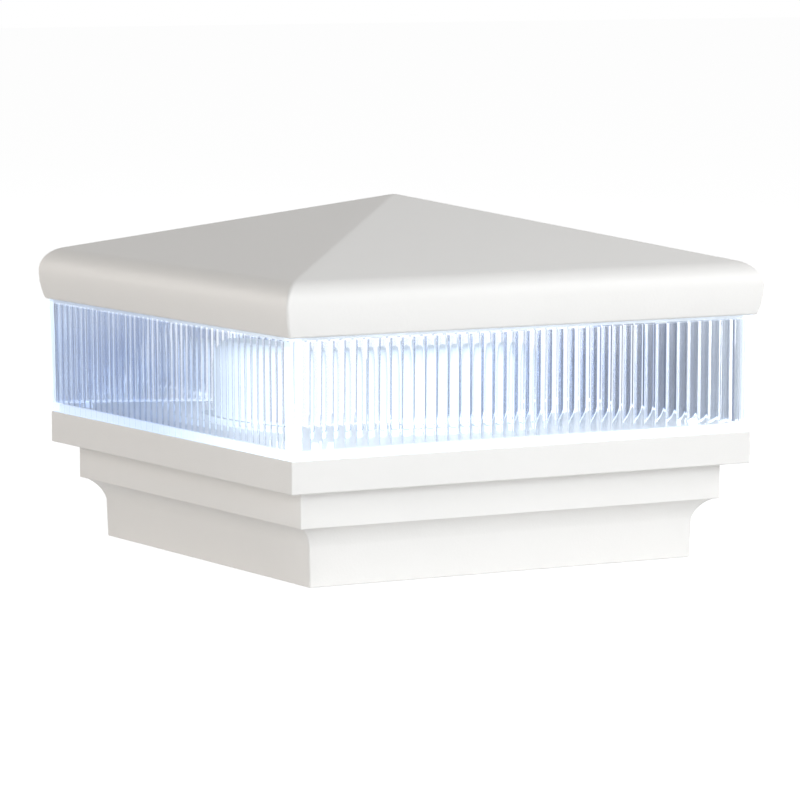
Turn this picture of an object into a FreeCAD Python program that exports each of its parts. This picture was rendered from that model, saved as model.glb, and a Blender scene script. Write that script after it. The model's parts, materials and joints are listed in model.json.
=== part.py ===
import FreeCAD, Part
import math
import os
import re
import Sketcher

# Deck post cap light, wired for 12 V: a square collar that drops over a 127 mm post sleeve, a reeded
# clear lens ring standing on the collar's flange, and a hollow pyramid roof resting on the lens.
# Frame: millimetres, +Z up, origin at the centre of the collar's bottom rim, the front face at -Y.

Vector = FreeCAD.Vector
Rotation = FreeCAD.Rotation
doc = FreeCAD.newDocument("post_cap_light")

SIZES = {
    # the post, and the collar's skirt, cove, tier and flange
    "post_size": 127.0,
    "post_clearance": 1.3,
    "skirt_wall": 2.8,
    "skirt_height": 12.0,
    "skirt_draft": 0.35,
    "cove_run": 5.2,
    "cove_rise": 6.7,
    "cove_radius": 9.5,
    "tier_quirk": 1.15,
    "tier_height": 11.4,
    "tier_wall": 2.8,
    "flange_reach": 6.7,
    "flange_height": 9.9,
    "flange_wall": 6.1,
    "flange_floor": 2.9,
    "socket_depth": 20.5,
    "ledge_width": 6.0,
    "ledge_thickness": 3.0,
    "crush_rib_depth": 1.0,
    "crush_rib_width": 2.0,
    "crush_rib_offset": 40.0,
    "crush_rib_lead": 2.0,
    # the base plate inside the collar, with its screws and cable grommet
    "plate_thickness": 2.5,
    "plate_clearance": 0.3,
    "plate_screw_offset": 35.0,
    "plate_screw_setback": 3.5,
    "post_screw_spacing": 104.0,
    "post_screw_hole_radius": 2.4,
    "pillar_wall": 2.5,
    "pillar_setback": 6.5,
    "boss_wall": 1.7,
    "boss_length": 2.5,
    "grommet_x": 46.0,
    "grommet_y": 32.0,
    "grommet_bore_radius": 4.0,
    "grommet_web_radius": 6.5,
    "grommet_flange_radius": 9.0,
    "grommet_flange_thickness": 2.0,
    # fasteners: one size of pan-head screw, with its clearance and tapped holes
    "screw_radius": 1.5,
    "screw_head_radius": 2.9,
    "screw_head_height": 1.8,
    "screw_head_taper": 0.75,
    "screw_slot_width": 0.8,
    "screw_slot_depth": 0.8,
    "clearance_gap": 0.2,
    "thread_gap": 0.05,
    "screw_end_gap": 0.5,
    "deck_screw_length": 10.5,
    "plate_screw_length": 7.5,
    "small_screw_length": 6.0,
    # how far a cutting solid runs past the face it opens, or a fused one into its neighbour
    "overrun": 1.0,
    # the lens ring
    "lens_inset": 0.15,
    "lens_height": 36.3,
    "lens_draft": 0.65,
    "lens_wall": 3.2,
    "reed_count": 40,
    "reed_depth": 1.1,
    "reed_gap": 0.3,
    "lens_foot_border": 3.0,
    "lens_head_border": 1.3,
    "gasket_width": 1.4,
    "gasket_thickness": 0.9,
    # the light deck inside the lens ring
    "deck_thickness": 2.5,
    "deck_clearance": 0.3,
    # the roof
    "roof_reach": 2.5,
    "eave_height": 9.1,
    "eave_radius": 27.0,
    "nose_radius": 7.8,
    "roof_slope": 13.7,
    "roof_wall": 2.6,
    "rim_wall": 4.0,
    "finger_width": 3.0,
    "finger_thickness": 4.0,
    "finger_depth": 1.5,
    "finger_height": 8.0,
    "finger_spacing": 50.0,
    "finger_clearance": 0.3,
    # the light module: heat sink, thermal pad, round board, emitters and frosted dome
    "sink_thickness": 2.5,
    "sink_pad_radius": 16.5,
    "sink_pad_gap": 0.5,
    "fin_count": 5,
    "fin_pitch": 5.0,
    "fin_thickness": 1.6,
    "fin_length": 24.0,
    "fin_height": 8.0,
    "thermal_pad_thickness": 0.5,
    "led_board_radius": 15.0,
    "led_board_thickness": 1.6,
    "led_circle_radius": 7.5,
    "led_size": 3.5,
    "led_height": 1.0,
    "phosphor_radius": 1.4,
    "phosphor_height": 0.4,
    "board_screw_circle": 12.0,
    "board_screw_radius": 1.25,
    "board_screw_head_radius": 2.2,
    "plug_length": 4.5,
    "plug_width": 7.0,
    "plug_height": 4.0,
    "plug_edge": 14.0,
    "dome_radius": 24.5,
    "dome_height": 26.0,
    "dome_wall": 1.8,
    "dome_shoulder": 9.0,
    "dome_flange_thickness": 2.0,
    "dome_screw_gap": 0.2,
    "dome_screw_margin": 2.4,
    # the driver in its case beside the heat sink
    "case_gap": 2.0,
    "case_side_gap": 4.2,
    "case_length": 54.0,
    "case_front": 22.0,
    "case_head_gap": 1.0,
    "case_wall": 1.6,
    "lid_thickness": 1.4,
    "lid_lip": 1.2,
    "ear_width": 10.0,
    "ear_length": 8.0,
    "ear_thickness": 2.0,
    "standoff_height": 2.4,
    "standoff_radius": 2.0,
    "driver_board_thickness": 1.6,
    "driver_board_gap": 0.4,
    # the parts on the driver board: "x" and "y" are taken from the middle of the case
    "header_length": 6.0,
    "header_gap": 0.6,
    "supply_header_inset": 10.0,
    "supply_header_setback": 4.0,
    "led_header_setback": 2.0,
    "led_header_width": 8.0,
    "rectifier_x": -6.0,
    "rectifier_y": -8.0,
    "rectifier_length": 8.0,
    "rectifier_width": 6.4,
    "rectifier_height": 3.2,
    "chip_x": -1.0,
    "chip_y": 1.0,
    "chip_length": 5.0,
    "chip_width": 4.0,
    "chip_height": 1.6,
    "resistor_count": 6,
    "resistor_pitch": 3.2,
    "resistor_first_x": -11.0,
    "resistor_y": 8.0,
    "resistor_length": 1.6,
    "resistor_width": 3.2,
    "resistor_height": 0.6,
    "capacitor_x": -9.0,
    "capacitor_y": 22.0,
    "capacitor_length": 11.0,
    "capacitor_gap": 0.05,
    "choke_x": 4.0,
    "choke_y": 16.0,
    "choke_flange_radius": 4.0,
    "choke_core_radius": 2.6,
    "choke_flange_thickness": 1.0,
    "choke_gap": 0.4,
    # the screw terminals where the supply cable lands
    "block_gap": 6.5,
    "block_width": 19.0,
    "block_length": 18.0,
    "block_head_gap": 2.0,
    "block_centre_y": -4.0,
    "pole_pitch": 8.6,
    "insert_size": 5.0,
    "insert_gap": 0.1,
    "insert_recess": 1.0,
    "clamp_screw_radius": 1.3,
    "clamp_screw_spacing": 9.0,
    "clamp_screw_gap": 0.6,
    # the internal leads
    "lead_radius": 0.75,
    "lead_hole_gap": 0.35,
    "lead_rise": 0.6,
    "lead_grip": 3.0,
    "plug_lead_rise": 0.3,
    "supply_pitch": 5.0,
    "supply_bend": 12.0,
    "supply_run": 16.0,
    "led_lead_pitch": 2.5,
    "led_lead_x": 20.1,
    "led_lead_bend": 5.5,
    "led_lead_top_bend": 3.0,
    "led_lead_hole_radius": 2.3,
}

PLACES = {
    # half widths, from the post outwards
    "socket_half": "post_size / 2 + post_clearance",
    "skirt_half": "socket_half + skirt_wall",
    "cove_foot_half": "skirt_half + skirt_draft",
    "cove_head_half": "cove_foot_half + cove_run",
    "tier_half": "cove_head_half + tier_quirk",
    "bay_half": "tier_half - tier_wall",
    "flange_half": "tier_half + flange_reach",
    "mouth_half": "flange_half - flange_wall",
    "ledge_half": "socket_half - ledge_width",
    "plate_half": "bay_half - plate_clearance",
    "lens_foot_half": "flange_half - lens_inset",
    "lens_head_half": "lens_foot_half + lens_draft",
    "lens_bore_half": "lens_foot_half - lens_wall",
    "reed_tip_half": "lens_bore_half - reed_depth",
    "deck_half": "lens_bore_half - deck_clearance",
    "roof_half": "lens_head_half + roof_reach",
    "rim_half": "roof_half - eave_radius + sqrt(eave_radius ^ 2 - eave_height ^ 2)",
    "rim_bore_half": "rim_half - rim_wall",
    "foot_gasket_half": "(lens_foot_half + lens_bore_half) / 2",
    "head_gasket_half": "(lens_head_half + rim_bore_half) / 2",
    # heights, from the bottom rim upwards
    "tier_bottom": "skirt_height + cove_rise",
    "flange_bottom": "tier_bottom + tier_height",
    "flange_top": "flange_bottom + flange_height",
    "mouth_bottom": "flange_bottom + flange_floor",
    "plate_bottom": "socket_depth + ledge_thickness",
    "plate_top": "plate_bottom + plate_thickness",
    "boss_bottom": "plate_bottom - boss_length",
    "deck_top": "flange_top + deck_thickness",
    "lens_top": "flange_top + lens_height",
    "eave_level": "lens_top + eave_height",
    "nose_half": "roof_half - nose_radius + nose_radius * sin(roof_slope)",
    "nose_top": "eave_level + nose_radius * cos(roof_slope)",
    "apex": "nose_top + nose_half * tan(roof_slope)",
    "core_apex": "apex - roof_wall / cos(roof_slope)",
    "core_shoulder": "core_apex - rim_bore_half * tan(roof_slope)",
    "dome_screw_circle": "dome_radius + screw_head_radius + dome_screw_gap",
    "sink_radius": "dome_screw_circle + dome_screw_margin",
    "sink_bottom": "flange_top - sink_thickness",
    "pad_top": "deck_top + thermal_pad_thickness",
    "board_top": "pad_top + led_board_thickness",
    "dome_top": "deck_top + dome_height",
    "dome_bore": "dome_radius - dome_wall",
    "dome_bore_top": "dome_top - dome_wall",
    "dome_bore_shoulder": "dome_shoulder - dome_wall",
    "dome_spring": "dome_top - dome_shoulder",
    "dome_flange_top": "deck_top + dome_flange_thickness",
    # screw holes
    "screw_hole": "screw_radius + clearance_gap",
    "tapped_hole": "screw_radius + thread_gap",
    "board_screw_hole": "board_screw_radius + clearance_gap",
    "board_tapped_hole": "board_screw_radius + thread_gap",
    "pillar_at": "bay_half - pillar_setback",
    "plate_screw_at": "bay_half - plate_screw_setback",
    "post_screw_at": "post_screw_spacing / 2",
    "pillar_radius": "screw_radius + pillar_wall",
    "boss_radius": "screw_radius + boss_wall",
    # long enough for two crossed prisms to hold the widest moulding
    "prism_length": "4 * roof_half",
    # driver case: it fills the room between the heat sink and the plate's edge, up to the deck
    "case_right": "-1 * (sink_radius + case_gap)",
    "case_left": "-1 * (plate_half - case_side_gap)",
    "case_mid": "(case_left + case_right) / 2",
    "case_near": "-1 * case_front",
    "case_far": "case_near + case_length",
    "case_middle": "(case_near + case_far) / 2",
    "supply_header_near": "case_near + case_wall + supply_header_setback",
    "led_header_right": "case_right - case_wall - led_header_setback",
    "case_top": "flange_top - case_head_gap - lid_thickness",
    "case_height": "case_top - plate_top",
    "driver_bottom": "plate_top + case_wall + standoff_height",
    "driver_top": "driver_bottom + driver_board_thickness",
    "header_height": "case_top - header_gap - driver_top",
    "capacitor_radius": "header_height / 2",
    "choke_height": "header_height - choke_gap",
    "ear_top": "plate_top + ear_thickness",
    "near_ear_y": "case_near - ear_length / 2",
    "far_ear_y": "case_far + ear_length / 2",
    # terminal block
    "block_left": "sink_radius + block_gap",
    "block_mid": "block_left + block_width / 2",
    "block_near": "block_centre_y - block_length / 2",
    "block_top": "flange_top - block_head_gap",
    # leads
    "lead_z": "(plate_top + flange_top) / 2 + lead_rise",
    "lead_hole": "lead_radius + lead_hole_gap",
    "plug_lead_z": "board_top + plug_height / 2 + plug_lead_rise",
}

WORD = re.compile(r"[a-z_]+")
PIPE_TOLERANCE = 0.01


def qualified(text, own_places=False):
    """The expression with every size and place written with the sheet that holds it."""
    def owner(match):
        word = match.group(0)
        if word in SIZES:
            return "sizes." + word
        if word in PLACES and not own_places:
            return "places." + word
        return word
    return WORD.sub(owner, text)


def write_sheet(name, cells):
    sheet = doc.addObject("Spreadsheet::Sheet", name)
    for row, (alias, content) in enumerate(cells.items(), start=1):
        sheet.set(f"A{row}", alias)
        sheet.set(f"B{row}", str(content))
        sheet.setAlias(f"B{row}", alias)
    return sheet


sizes = write_sheet("sizes", SIZES)
places = write_sheet("places", {k: "=" + qualified(v, own_places=True) for k, v in PLACES.items()})
doc.recompute()


def value(text):
    """The number that an expression on the two sheets gives now."""
    return float(sizes.evalExpression(qualified(str(text))))


def bind(thing, prop, text):
    thing.setExpression(prop, qualified(str(text)))


def minus(text):
    return f"-1 * ({text})"


def move_to(thing, x, y, z):
    for axis, text in zip("xyz", (x, y, z)):
        bind(thing, f"Placement.Base.{axis}", text)
    return thing


# ---- sketches: every point is held at a place worked out from the sheets

def origin_feature(body, role):
    return next(f for f in body.Origin.OriginFeatures if f.Role == role)


def sketch_in(body, name, level="0", role="XY_Plane"):
    sketch = body.newObject("Sketcher::SketchObject", name)
    sketch.AttachmentSupport = (origin_feature(body, role), [""])
    sketch.MapMode = "FlatFace"
    bind(sketch, "AttachmentOffset.Base.z", level)
    return sketch


def hold(sketch, geometry, vertex, x, y):
    """Ties a vertex of the sketch to the place (x, y)."""
    for kind, text in (("DistanceX", x), ("DistanceY", y)):
        rule = Sketcher.Constraint(kind, -1, 1, geometry, vertex, value(text))
        index = sketch.addConstraint(rule)
        bind(sketch, f"Constraints[{index}]", text)


def draw_edge(sketch, start, end, arc):
    """One edge of an outline; arc is (radius, side), side 1 with its centre on the left of the way."""
    a, b = (Vector(value(x), value(y), 0) for x, y in (start, end))
    if arc is None:
        return sketch.addGeometry(Part.LineSegment(a, b), False), 1, 2
    radius, side = value(arc[0]), arc[1]
    chord = b - a
    left = Vector(-chord.y, chord.x, 0).normalize()
    centre = (a + b) * 0.5 + left * (side * math.sqrt(radius ** 2 - chord.Length ** 2 / 4))
    first, last = (a, b) if side > 0 else (b, a)
    angles = [math.atan2(p.y - centre.y, p.x - centre.x) for p in (first, last)]
    if angles[1] < angles[0]:
        angles[1] += 2 * math.pi
    circle = Part.Circle(centre, Vector(0, 0, 1), radius)
    geometry = sketch.addGeometry(Part.ArcOfCircle(circle, *angles), False)
    index = sketch.addConstraint(Sketcher.Constraint("Radius", geometry, radius))
    bind(sketch, f"Constraints[{index}]", arc[0])
    return (geometry, 1, 2) if side > 0 else (geometry, 2, 1)


def outline(sketch, points, arcs=None):
    """A closed outline through the points; arcs[i] bends the edge that leaves point i."""
    arcs = arcs or {}
    edges = []
    for i, start in enumerate(points):
        edges.append(draw_edge(sketch, start, points[(i + 1) % len(points)], arcs.get(i)))
    for i, (geometry, first, last) in enumerate(edges):
        following, its_first, _ = edges[(i + 1) % len(edges)]
        sketch.addConstraint(Sketcher.Constraint("Coincident", geometry, last, following, its_first))
        hold(sketch, geometry, first, *points[i])


def rectangle(sketch, left, right, near, far):
    outline(sketch, [(left, near), (right, near), (right, far), (left, far)])


def square(sketch, half):
    rectangle(sketch, minus(half), half, minus(half), half)


def circle(sketch, x, y, radius):
    centre = Vector(value(x), value(y), 0)
    geometry = sketch.addGeometry(Part.Circle(centre, Vector(0, 0, 1), value(radius)), False)
    hold(sketch, geometry, 3, x, y)
    index = sketch.addConstraint(Sketcher.Constraint("Radius", geometry, value(radius)))
    bind(sketch, f"Constraints[{index}]", radius)


def circles(sketch, centres, radius):
    for x, y in centres:
        circle(sketch, x, y, radius)


# ---- features and solids

def new_body(name):
    body = doc.addObject("PartDesign::Body", name)
    body.Label = name
    return body


def grow(body, kind, sketch, length, backwards=False):
    """A Pad or Pocket of the sketch; a Pad goes up the sketch's normal and a Pocket down it."""
    feature = body.newObject("PartDesign::" + kind, sketch.Name + "_" + kind.lower())
    feature.Profile = sketch
    bind(feature, "Length", length)
    feature.Reversed = backwards
    return feature


def box(name, low, high):
    """A box between two corners, each coordinate an expression."""
    thing = doc.addObject("Part::Box", name)
    for prop, a, b in zip(("Length", "Width", "Height"), low, high):
        bind(thing, prop, f"({b}) - ({a})")
    return move_to(thing, *low)


def square_box(name, half, bottom, top):
    return box(name, (minus(half), minus(half), bottom), (half, half, top))


def cylinder(name, x, y, bottom, top, radius):
    thing = doc.addObject("Part::Cylinder", name)
    bind(thing, "Radius", radius)
    bind(thing, "Height", f"({top}) - ({bottom})")
    return move_to(thing, x, y, bottom)


def combine(kind, name, shapes):
    """MultiFuse, MultiCommon or Compound of the shapes."""
    thing = doc.addObject("Part::" + kind, name)
    thing.Label = name
    setattr(thing, "Links" if kind == "Compound" else "Shapes", shapes)
    return thing


def cut(name, base, tools):
    thing = doc.addObject("Part::Cut", name)
    thing.Label = name
    thing.Base = base
    thing.Tool = tools[0] if len(tools) == 1 else combine("MultiFuse", name + "_tools", tools)
    return thing


def four_corners(half):
    return [(minus(half), minus(half)), (half, minus(half)), (half, half), (minus(half), half)]


def around(count, radius, first_angle=0.0):
    """Centres evenly spaced on a circle about the origin."""
    angles = [first_angle + 360.0 / count * i for i in range(count)]
    return [(f"{radius} * cos({a})", f"{radius} * sin({a})") for a in angles]


def square_moulding(name, points, arcs):
    """A solid square in plan, whose half width follows the profile from its lowest point to its
    highest: two prisms of the mirrored profile, one along each horizontal axis, have it in common."""
    mirrored = [(minus(x), z) for x, z in reversed(points) if x != "0"]
    outlines = list(points) + mirrored
    bends = dict(arcs)
    for i, (radius, side) in arcs.items():
        bends[len(outlines) - 2 - i] = (radius, side)
    turns = {"across": Rotation(Vector(1, 0, 0), 90), "along": Rotation(Vector(1, 1, 1), 120)}
    prisms = []
    for way, turn in turns.items():
        sketch = doc.addObject("Sketcher::SketchObject", f"{name}_{way}")
        sketch.Placement = FreeCAD.Placement(Vector(0, 0, 0), turn)
        outline(sketch, outlines, bends)
        prism = doc.addObject("Part::Extrusion", f"{name}_{way}_prism")
        prism.Base = sketch
        prism.DirMode = "Normal"
        prism.Solid = True
        prism.Symmetric = True
        bind(prism, "LengthFwd", "prism_length")
        prisms.append(prism)
    return combine("MultiCommon", name, prisms)


def pan_screw(name, x, y, seat, length, shank="screw_radius", head="screw_head_radius"):
    """A slotted pan-head screw: its head stands on the seat level and its shank goes down from it."""
    shaft = cylinder(name + "_shank", x, y, f"{seat} - ({length})", seat, shank)
    top = doc.addObject("Part::Cone", name + "_head")
    bind(top, "Radius1", head)
    bind(top, "Radius2", f"{head} * screw_head_taper")
    bind(top, "Height", "screw_head_height")
    move_to(top, x, y, seat)
    crown = f"{seat} + screw_head_height"
    low = (f"{x} - {head}", f"{y} - screw_slot_width / 2", f"{crown} - screw_slot_depth")
    high = (f"{x} + {head}", f"{y} + screw_slot_width / 2", f"{crown} + screw_slot_depth")
    blank = combine("MultiFuse", name + "_blank", [shaft, top])
    return cut(name, blank, [box(name + "_slot", low, high)])


def screw_set(name, centres, seat, length, **sizes_of_it):
    screws = [pan_screw(f"{name}_{i}", x, y, seat, length, **sizes_of_it)
              for i, (x, y) in enumerate(centres, start=1)]
    return combine("Compound", name, screws)


def square_ring(name, middle, width, bottom, top):
    """A square ring of the given width about its middle line."""
    outer = square_box(name + "_outer", f"{middle} + {width} / 2", bottom, top)
    inner = square_box(name + "_inner", f"{middle} - {width} / 2", f"{bottom} - overrun", f"{top} + overrun")
    return cut(name, outer, [inner])


PLATE_SCREWS = [(f"{sx} * plate_screw_offset", f"{sy} * plate_screw_at")
                for sx in (-1, 1) for sy in (-1, 1)]
DECK_SCREWS = four_corners("pillar_at")
POST_SCREWS = four_corners("post_screw_at")
CASE_SCREWS = [("case_mid", "near_ear_y"), ("case_mid", "far_ear_y")]
BLOCK_SCREW = [("block_mid", "block_centre_y")]
DOME_SCREWS = around(3, "dome_screw_circle", 90.0)
BOARD_SCREWS = around(3, "board_screw_circle")
LED_PLACES = around(6, "led_circle_radius", 30.0)
LED_LEAD_HOLE = (minus("led_lead_x"), "0")
POLES = ["block_mid - pole_pitch / 2", "block_mid + pole_pitch / 2"]
SUPPLY_ENDS = ["case_right - supply_header_inset", "case_right - supply_header_inset - supply_pitch"]
LED_LEAD_ROWS = [minus("led_lead_pitch / 2"), "led_lead_pitch / 2"]


# ---- collar

def make_base_collar():
    profile = [
        ("skirt_half", "0"),
        ("cove_foot_half", "skirt_height"),
        ("cove_head_half", "tier_bottom"),
        ("tier_half", "tier_bottom"),
        ("tier_half", "flange_bottom"),
        ("flange_half", "flange_bottom"),
        ("flange_half", "flange_top"),
    ]
    blank = square_moulding("collar_blank", profile, {1: ("cove_radius", -1)})
    hollows = [
        square_box("post_socket", "socket_half", "-1 * overrun", "socket_depth"),
        square_box("ledge_opening", "ledge_half", "socket_depth - overrun", "plate_bottom + overrun"),
        square_box("wiring_bay", "bay_half", "plate_bottom", "mouth_bottom + overrun"),
        square_box("bay_mouth", "mouth_half", "mouth_bottom", "flange_top + overrun"),
        square_ring("foot_groove", "foot_gasket_half", "gasket_width",
                    "flange_top - gasket_thickness", "flange_top + overrun"),
    ]
    for i, (x, y) in enumerate(PLATE_SCREWS, start=1):
        tip = "plate_top - plate_screw_length - screw_end_gap"
        hollows.append(cylinder(f"plate_tapping_{i}", x, y, tip, "plate_bottom + overrun", "tapped_hole"))
    shell = cut("collar_shell", blank, hollows)
    ribs = []
    for sx in (-1, 1):
        for way in (-1, 1):
            middle = f"{sx} * crush_rib_offset"
            low_side, high_side = f"{middle} - crush_rib_width / 2", f"{middle} + crush_rib_width / 2"
            edges = ["socket_half - crush_rib_depth", "socket_half + overrun"]
            if way < 0:
                edges = [minus(edge) for edge in reversed(edges)]
            name = f"crush_rib_{'near' if sx < 0 else 'far'}_{'minus' if way < 0 else 'plus'}"
            ribs.append(box(name + "_x", (edges[0], low_side, "crush_rib_lead"),
                            (edges[1], high_side, "socket_depth")))
            ribs.append(box(name + "_y", (low_side, edges[0], "crush_rib_lead"),
                            (high_side, edges[1], "socket_depth")))
    return combine("MultiFuse", "base_collar", [shell] + ribs)


def make_base_plate():
    body = new_body("base_plate")
    slab = sketch_in(body, "plate_outline", "plate_bottom")
    square(slab, "plate_half")
    grow(body, "Pad", slab, "plate_thickness")
    pillars = sketch_in(body, "plate_pillars", "plate_top - overrun")
    circles(pillars, DECK_SCREWS, "pillar_radius")
    grow(body, "Pad", pillars, "flange_top - plate_top + overrun")
    bosses = sketch_in(body, "plate_bosses", "boss_bottom")
    circles(bosses, CASE_SCREWS + BLOCK_SCREW, "boss_radius")
    grow(body, "Pad", bosses, "boss_length + overrun")
    through = sketch_in(body, "plate_through_holes", "plate_top + overrun")
    circles(through, POST_SCREWS, "post_screw_hole_radius")
    circles(through, PLATE_SCREWS, "screw_hole")
    circle(through, "grommet_x", "grommet_y", "grommet_web_radius")
    grow(body, "Pocket", through, "plate_thickness + 2 * overrun")
    deep = sketch_in(body, "plate_pillar_holes", "flange_top")
    circles(deep, DECK_SCREWS, "tapped_hole")
    grow(body, "Pocket", deep, "deck_screw_length - deck_thickness + screw_end_gap")
    tapped = sketch_in(body, "plate_boss_holes", "plate_top")
    circles(tapped, CASE_SCREWS + BLOCK_SCREW, "tapped_hole")
    grow(body, "Pocket", tapped, "small_screw_length - ear_thickness + screw_end_gap")
    return body


def make_cable_grommet():
    body = new_body("cable_grommet")
    profile = sketch_in(body, "grommet_profile", "0", "XZ_Plane")
    bore, web, lip = "grommet_bore_radius", "grommet_web_radius", "grommet_flange_radius"
    low, high = "plate_bottom - grommet_flange_thickness", "plate_top + grommet_flange_thickness"
    outline(profile, [(bore, low), (lip, low), (lip, "plate_bottom"), (web, "plate_bottom"),
                      (web, "plate_top"), (lip, "plate_top"), (lip, high), (bore, high)])
    spin = body.newObject("PartDesign::Revolution", "grommet_turned")
    spin.Profile = profile
    spin.ReferenceAxis = (profile, ["V_Axis"])
    spin.Angle = 360
    move_to(body, "grommet_x", "grommet_y", "0")
    return body


# ---- lens and roof

def make_lens_ring():
    """The ring's bore is a code-made core, because its outline is as many reeds as the width takes."""
    foot = [("lens_foot_half", "flange_top"), ("lens_head_half", "lens_top")]
    blank = square_moulding("lens_blank", foot, {})
    bore, tip, gap = value("lens_bore_half"), value("reed_tip_half"), value("reed_gap")
    bottom, top = value("flange_top - overrun"), value("lens_top + overrun")
    count = int(value("reed_count"))
    pitch = 2 * bore / count
    width, depth = pitch - gap, bore - tip
    radius = (width ** 2 / 4 + depth ** 2) / (2 * depth)
    spread = math.asin(width / 2 / radius)
    edges = []
    for side in range(4):
        turn = Rotation(Vector(0, 0, 1), 90 * side)
        last = turn.multVec(Vector(-tip, -tip, 0))
        for i in range(count):
            centre = Vector((i + 0.5) * pitch - bore, depth - bore - radius, 0)
            # the reeds at the two ends of a side run into the corner, so only half their curve shows
            first_angle = 0 if i == 0 else -spread
            last_angle = 0 if i == count - 1 else spread
            angles = (first_angle, (first_angle + last_angle) / 2, last_angle)
            a, middle, b = (turn.multVec(centre + Vector(math.sin(t), math.cos(t), 0) * radius)
                            for t in angles)
            edges.append(Part.LineSegment(last, a).toShape())
            edges.append(Part.Arc(a, middle, b).toShape())
            last = b
        edges.append(Part.LineSegment(last, turn.multVec(Vector(tip, -tip, 0))).toShape())
    reeded = Part.Face(Part.Wire(edges)).extrude(Vector(0, 0, top - bottom))
    core = doc.addObject("Part::Feature", "lens_reeded_core")
    core.Shape = reeded
    core.Placement = FreeCAD.Placement(Vector(0, 0, bottom), Rotation())
    print(f"lens: {count} reeds a side, {pitch:.3f} mm apart, of radius {radius:.2f} mm")
    borders = [
        square_box("lens_foot_bore", "lens_bore_half",
                   "flange_top - overrun", "flange_top + lens_foot_border"),
        square_box("lens_head_bore", "lens_bore_half",
                   "lens_top - lens_head_border", "lens_top + overrun"),
        square_ring("head_groove", "head_gasket_half", "gasket_width",
                    "lens_top - gasket_thickness", "lens_top + overrun"),
    ]
    return cut("lens_ring", blank, [core] + borders)


def make_gaskets():
    square_ring("lens_gasket", "foot_gasket_half", "gasket_width",
                "flange_top - gasket_thickness", "flange_top")
    square_ring("roof_gasket", "head_gasket_half", "gasket_width",
                "lens_top - gasket_thickness", "lens_top")
    return [doc.getObject("lens_gasket"), doc.getObject("roof_gasket")]


def make_roof_cap():
    outer = [("rim_half", "lens_top"), ("roof_half", "eave_level"), ("nose_half", "nose_top"), ("0", "apex")]
    blank = square_moulding("roof_blank", outer, {0: ("eave_radius", 1), 1: ("nose_radius", 1)})
    inner = [("rim_bore_half", "lens_top - overrun"), ("rim_bore_half", "core_shoulder"), ("0", "core_apex")]
    core = square_moulding("roof_core", inner, {})
    shell = cut("roof_shell", blank, [core])
    outside = "reed_tip_half - finger_clearance"
    inside = f"{outside} - finger_thickness"
    fingers = []
    for number, step in enumerate((-1, 0, 1), start=1):
        low_side = f"{step} * finger_spacing - finger_width / 2"
        high_side = f"{step} * finger_spacing + finger_width / 2"
        for sign, side in ((1, "plus"), (-1, "minus")):
            for part, reach, low, high in (
                ("tip", outside, "lens_top - finger_depth", "lens_top + overrun"),
                ("web", "rim_bore_half + overrun", "lens_top", "lens_top + finger_height"),
            ):
                span = [inside, reach] if sign > 0 else [minus(reach), minus(inside)]
                name = f"finger_{part}_{side}_{number}"
                fingers.append(box(name + "_x", (span[0], low_side, low), (span[1], high_side, high)))
                fingers.append(box(name + "_y", (low_side, span[0], low), (high_side, span[1], high)))
    return combine("MultiFuse", "roof_cap", [shell] + fingers)


# ---- light deck and module

def make_light_deck():
    body = new_body("light_deck")
    slab = sketch_in(body, "deck_outline", "flange_top")
    square(slab, "deck_half")
    grow(body, "Pad", slab, "deck_thickness")
    holes = sketch_in(body, "deck_holes", "deck_top + overrun")
    circle(holes, "0", "0", "sink_pad_radius + sink_pad_gap")
    circle(holes, *LED_LEAD_HOLE, "led_lead_hole_radius")
    circles(holes, DECK_SCREWS + DOME_SCREWS, "screw_hole")
    grow(body, "Pocket", holes, "deck_thickness + 2 * overrun")
    return body


def make_heat_sink():
    body = new_body("heat_sink")
    disc = sketch_in(body, "sink_disc", "sink_bottom")
    circle(disc, "0", "0", "sink_radius")
    grow(body, "Pad", disc, "sink_thickness")
    pad = sketch_in(body, "sink_pad", "flange_top - overrun")
    circle(pad, "0", "0", "sink_pad_radius")
    grow(body, "Pad", pad, "deck_thickness + overrun")
    fins = sketch_in(body, "sink_fins", "sink_bottom - fin_height")
    count = int(value("fin_count"))
    for i in range(count):
        middle = f"({i} - (fin_count - 1) / 2) * fin_pitch"
        rectangle(fins, "-1 * fin_length / 2", "fin_length / 2",
                  f"{middle} - fin_thickness / 2", f"{middle} + fin_thickness / 2")
    grow(body, "Pad", fins, "fin_height + overrun")
    holes = sketch_in(body, "sink_holes", "flange_top + overrun")
    circle(holes, *LED_LEAD_HOLE, "led_lead_hole_radius")
    circles(holes, DOME_SCREWS, "tapped_hole")
    grow(body, "Pocket", holes, "sink_thickness + 2 * overrun")
    tapped = sketch_in(body, "sink_tapped_holes", "deck_top")
    circles(tapped, BOARD_SCREWS, "board_tapped_hole")
    grow(body, "Pocket", tapped, "small_screw_length - led_board_thickness + screw_end_gap")
    return body


def make_disc(name, bottom, thickness):
    """A disc of the round board's outline, with its screw holes."""
    body = new_body(name)
    disc = sketch_in(body, name + "_disc", bottom)
    circle(disc, "0", "0", "led_board_radius")
    circles(disc, BOARD_SCREWS, "board_screw_hole")
    grow(body, "Pad", disc, thickness)
    return body


def make_leds():
    packages, phosphors = [], []
    for i, (x, y) in enumerate(LED_PLACES, start=1):
        half = "led_size / 2"
        low = (f"{x} - {half}", f"{y} - {half}", "board_top")
        high = (f"{x} + {half}", f"{y} + {half}", "board_top + led_height")
        packages.append(box(f"led_package_{i}", low, high))
        crown = "board_top + led_height"
        phosphors.append(cylinder(f"led_phosphor_{i}", x, y, crown, f"{crown} + phosphor_height",
                                  "phosphor_radius"))
    return [combine("Compound", "led_packages", packages),
            combine("Compound", "led_phosphors", phosphors)]


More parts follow.
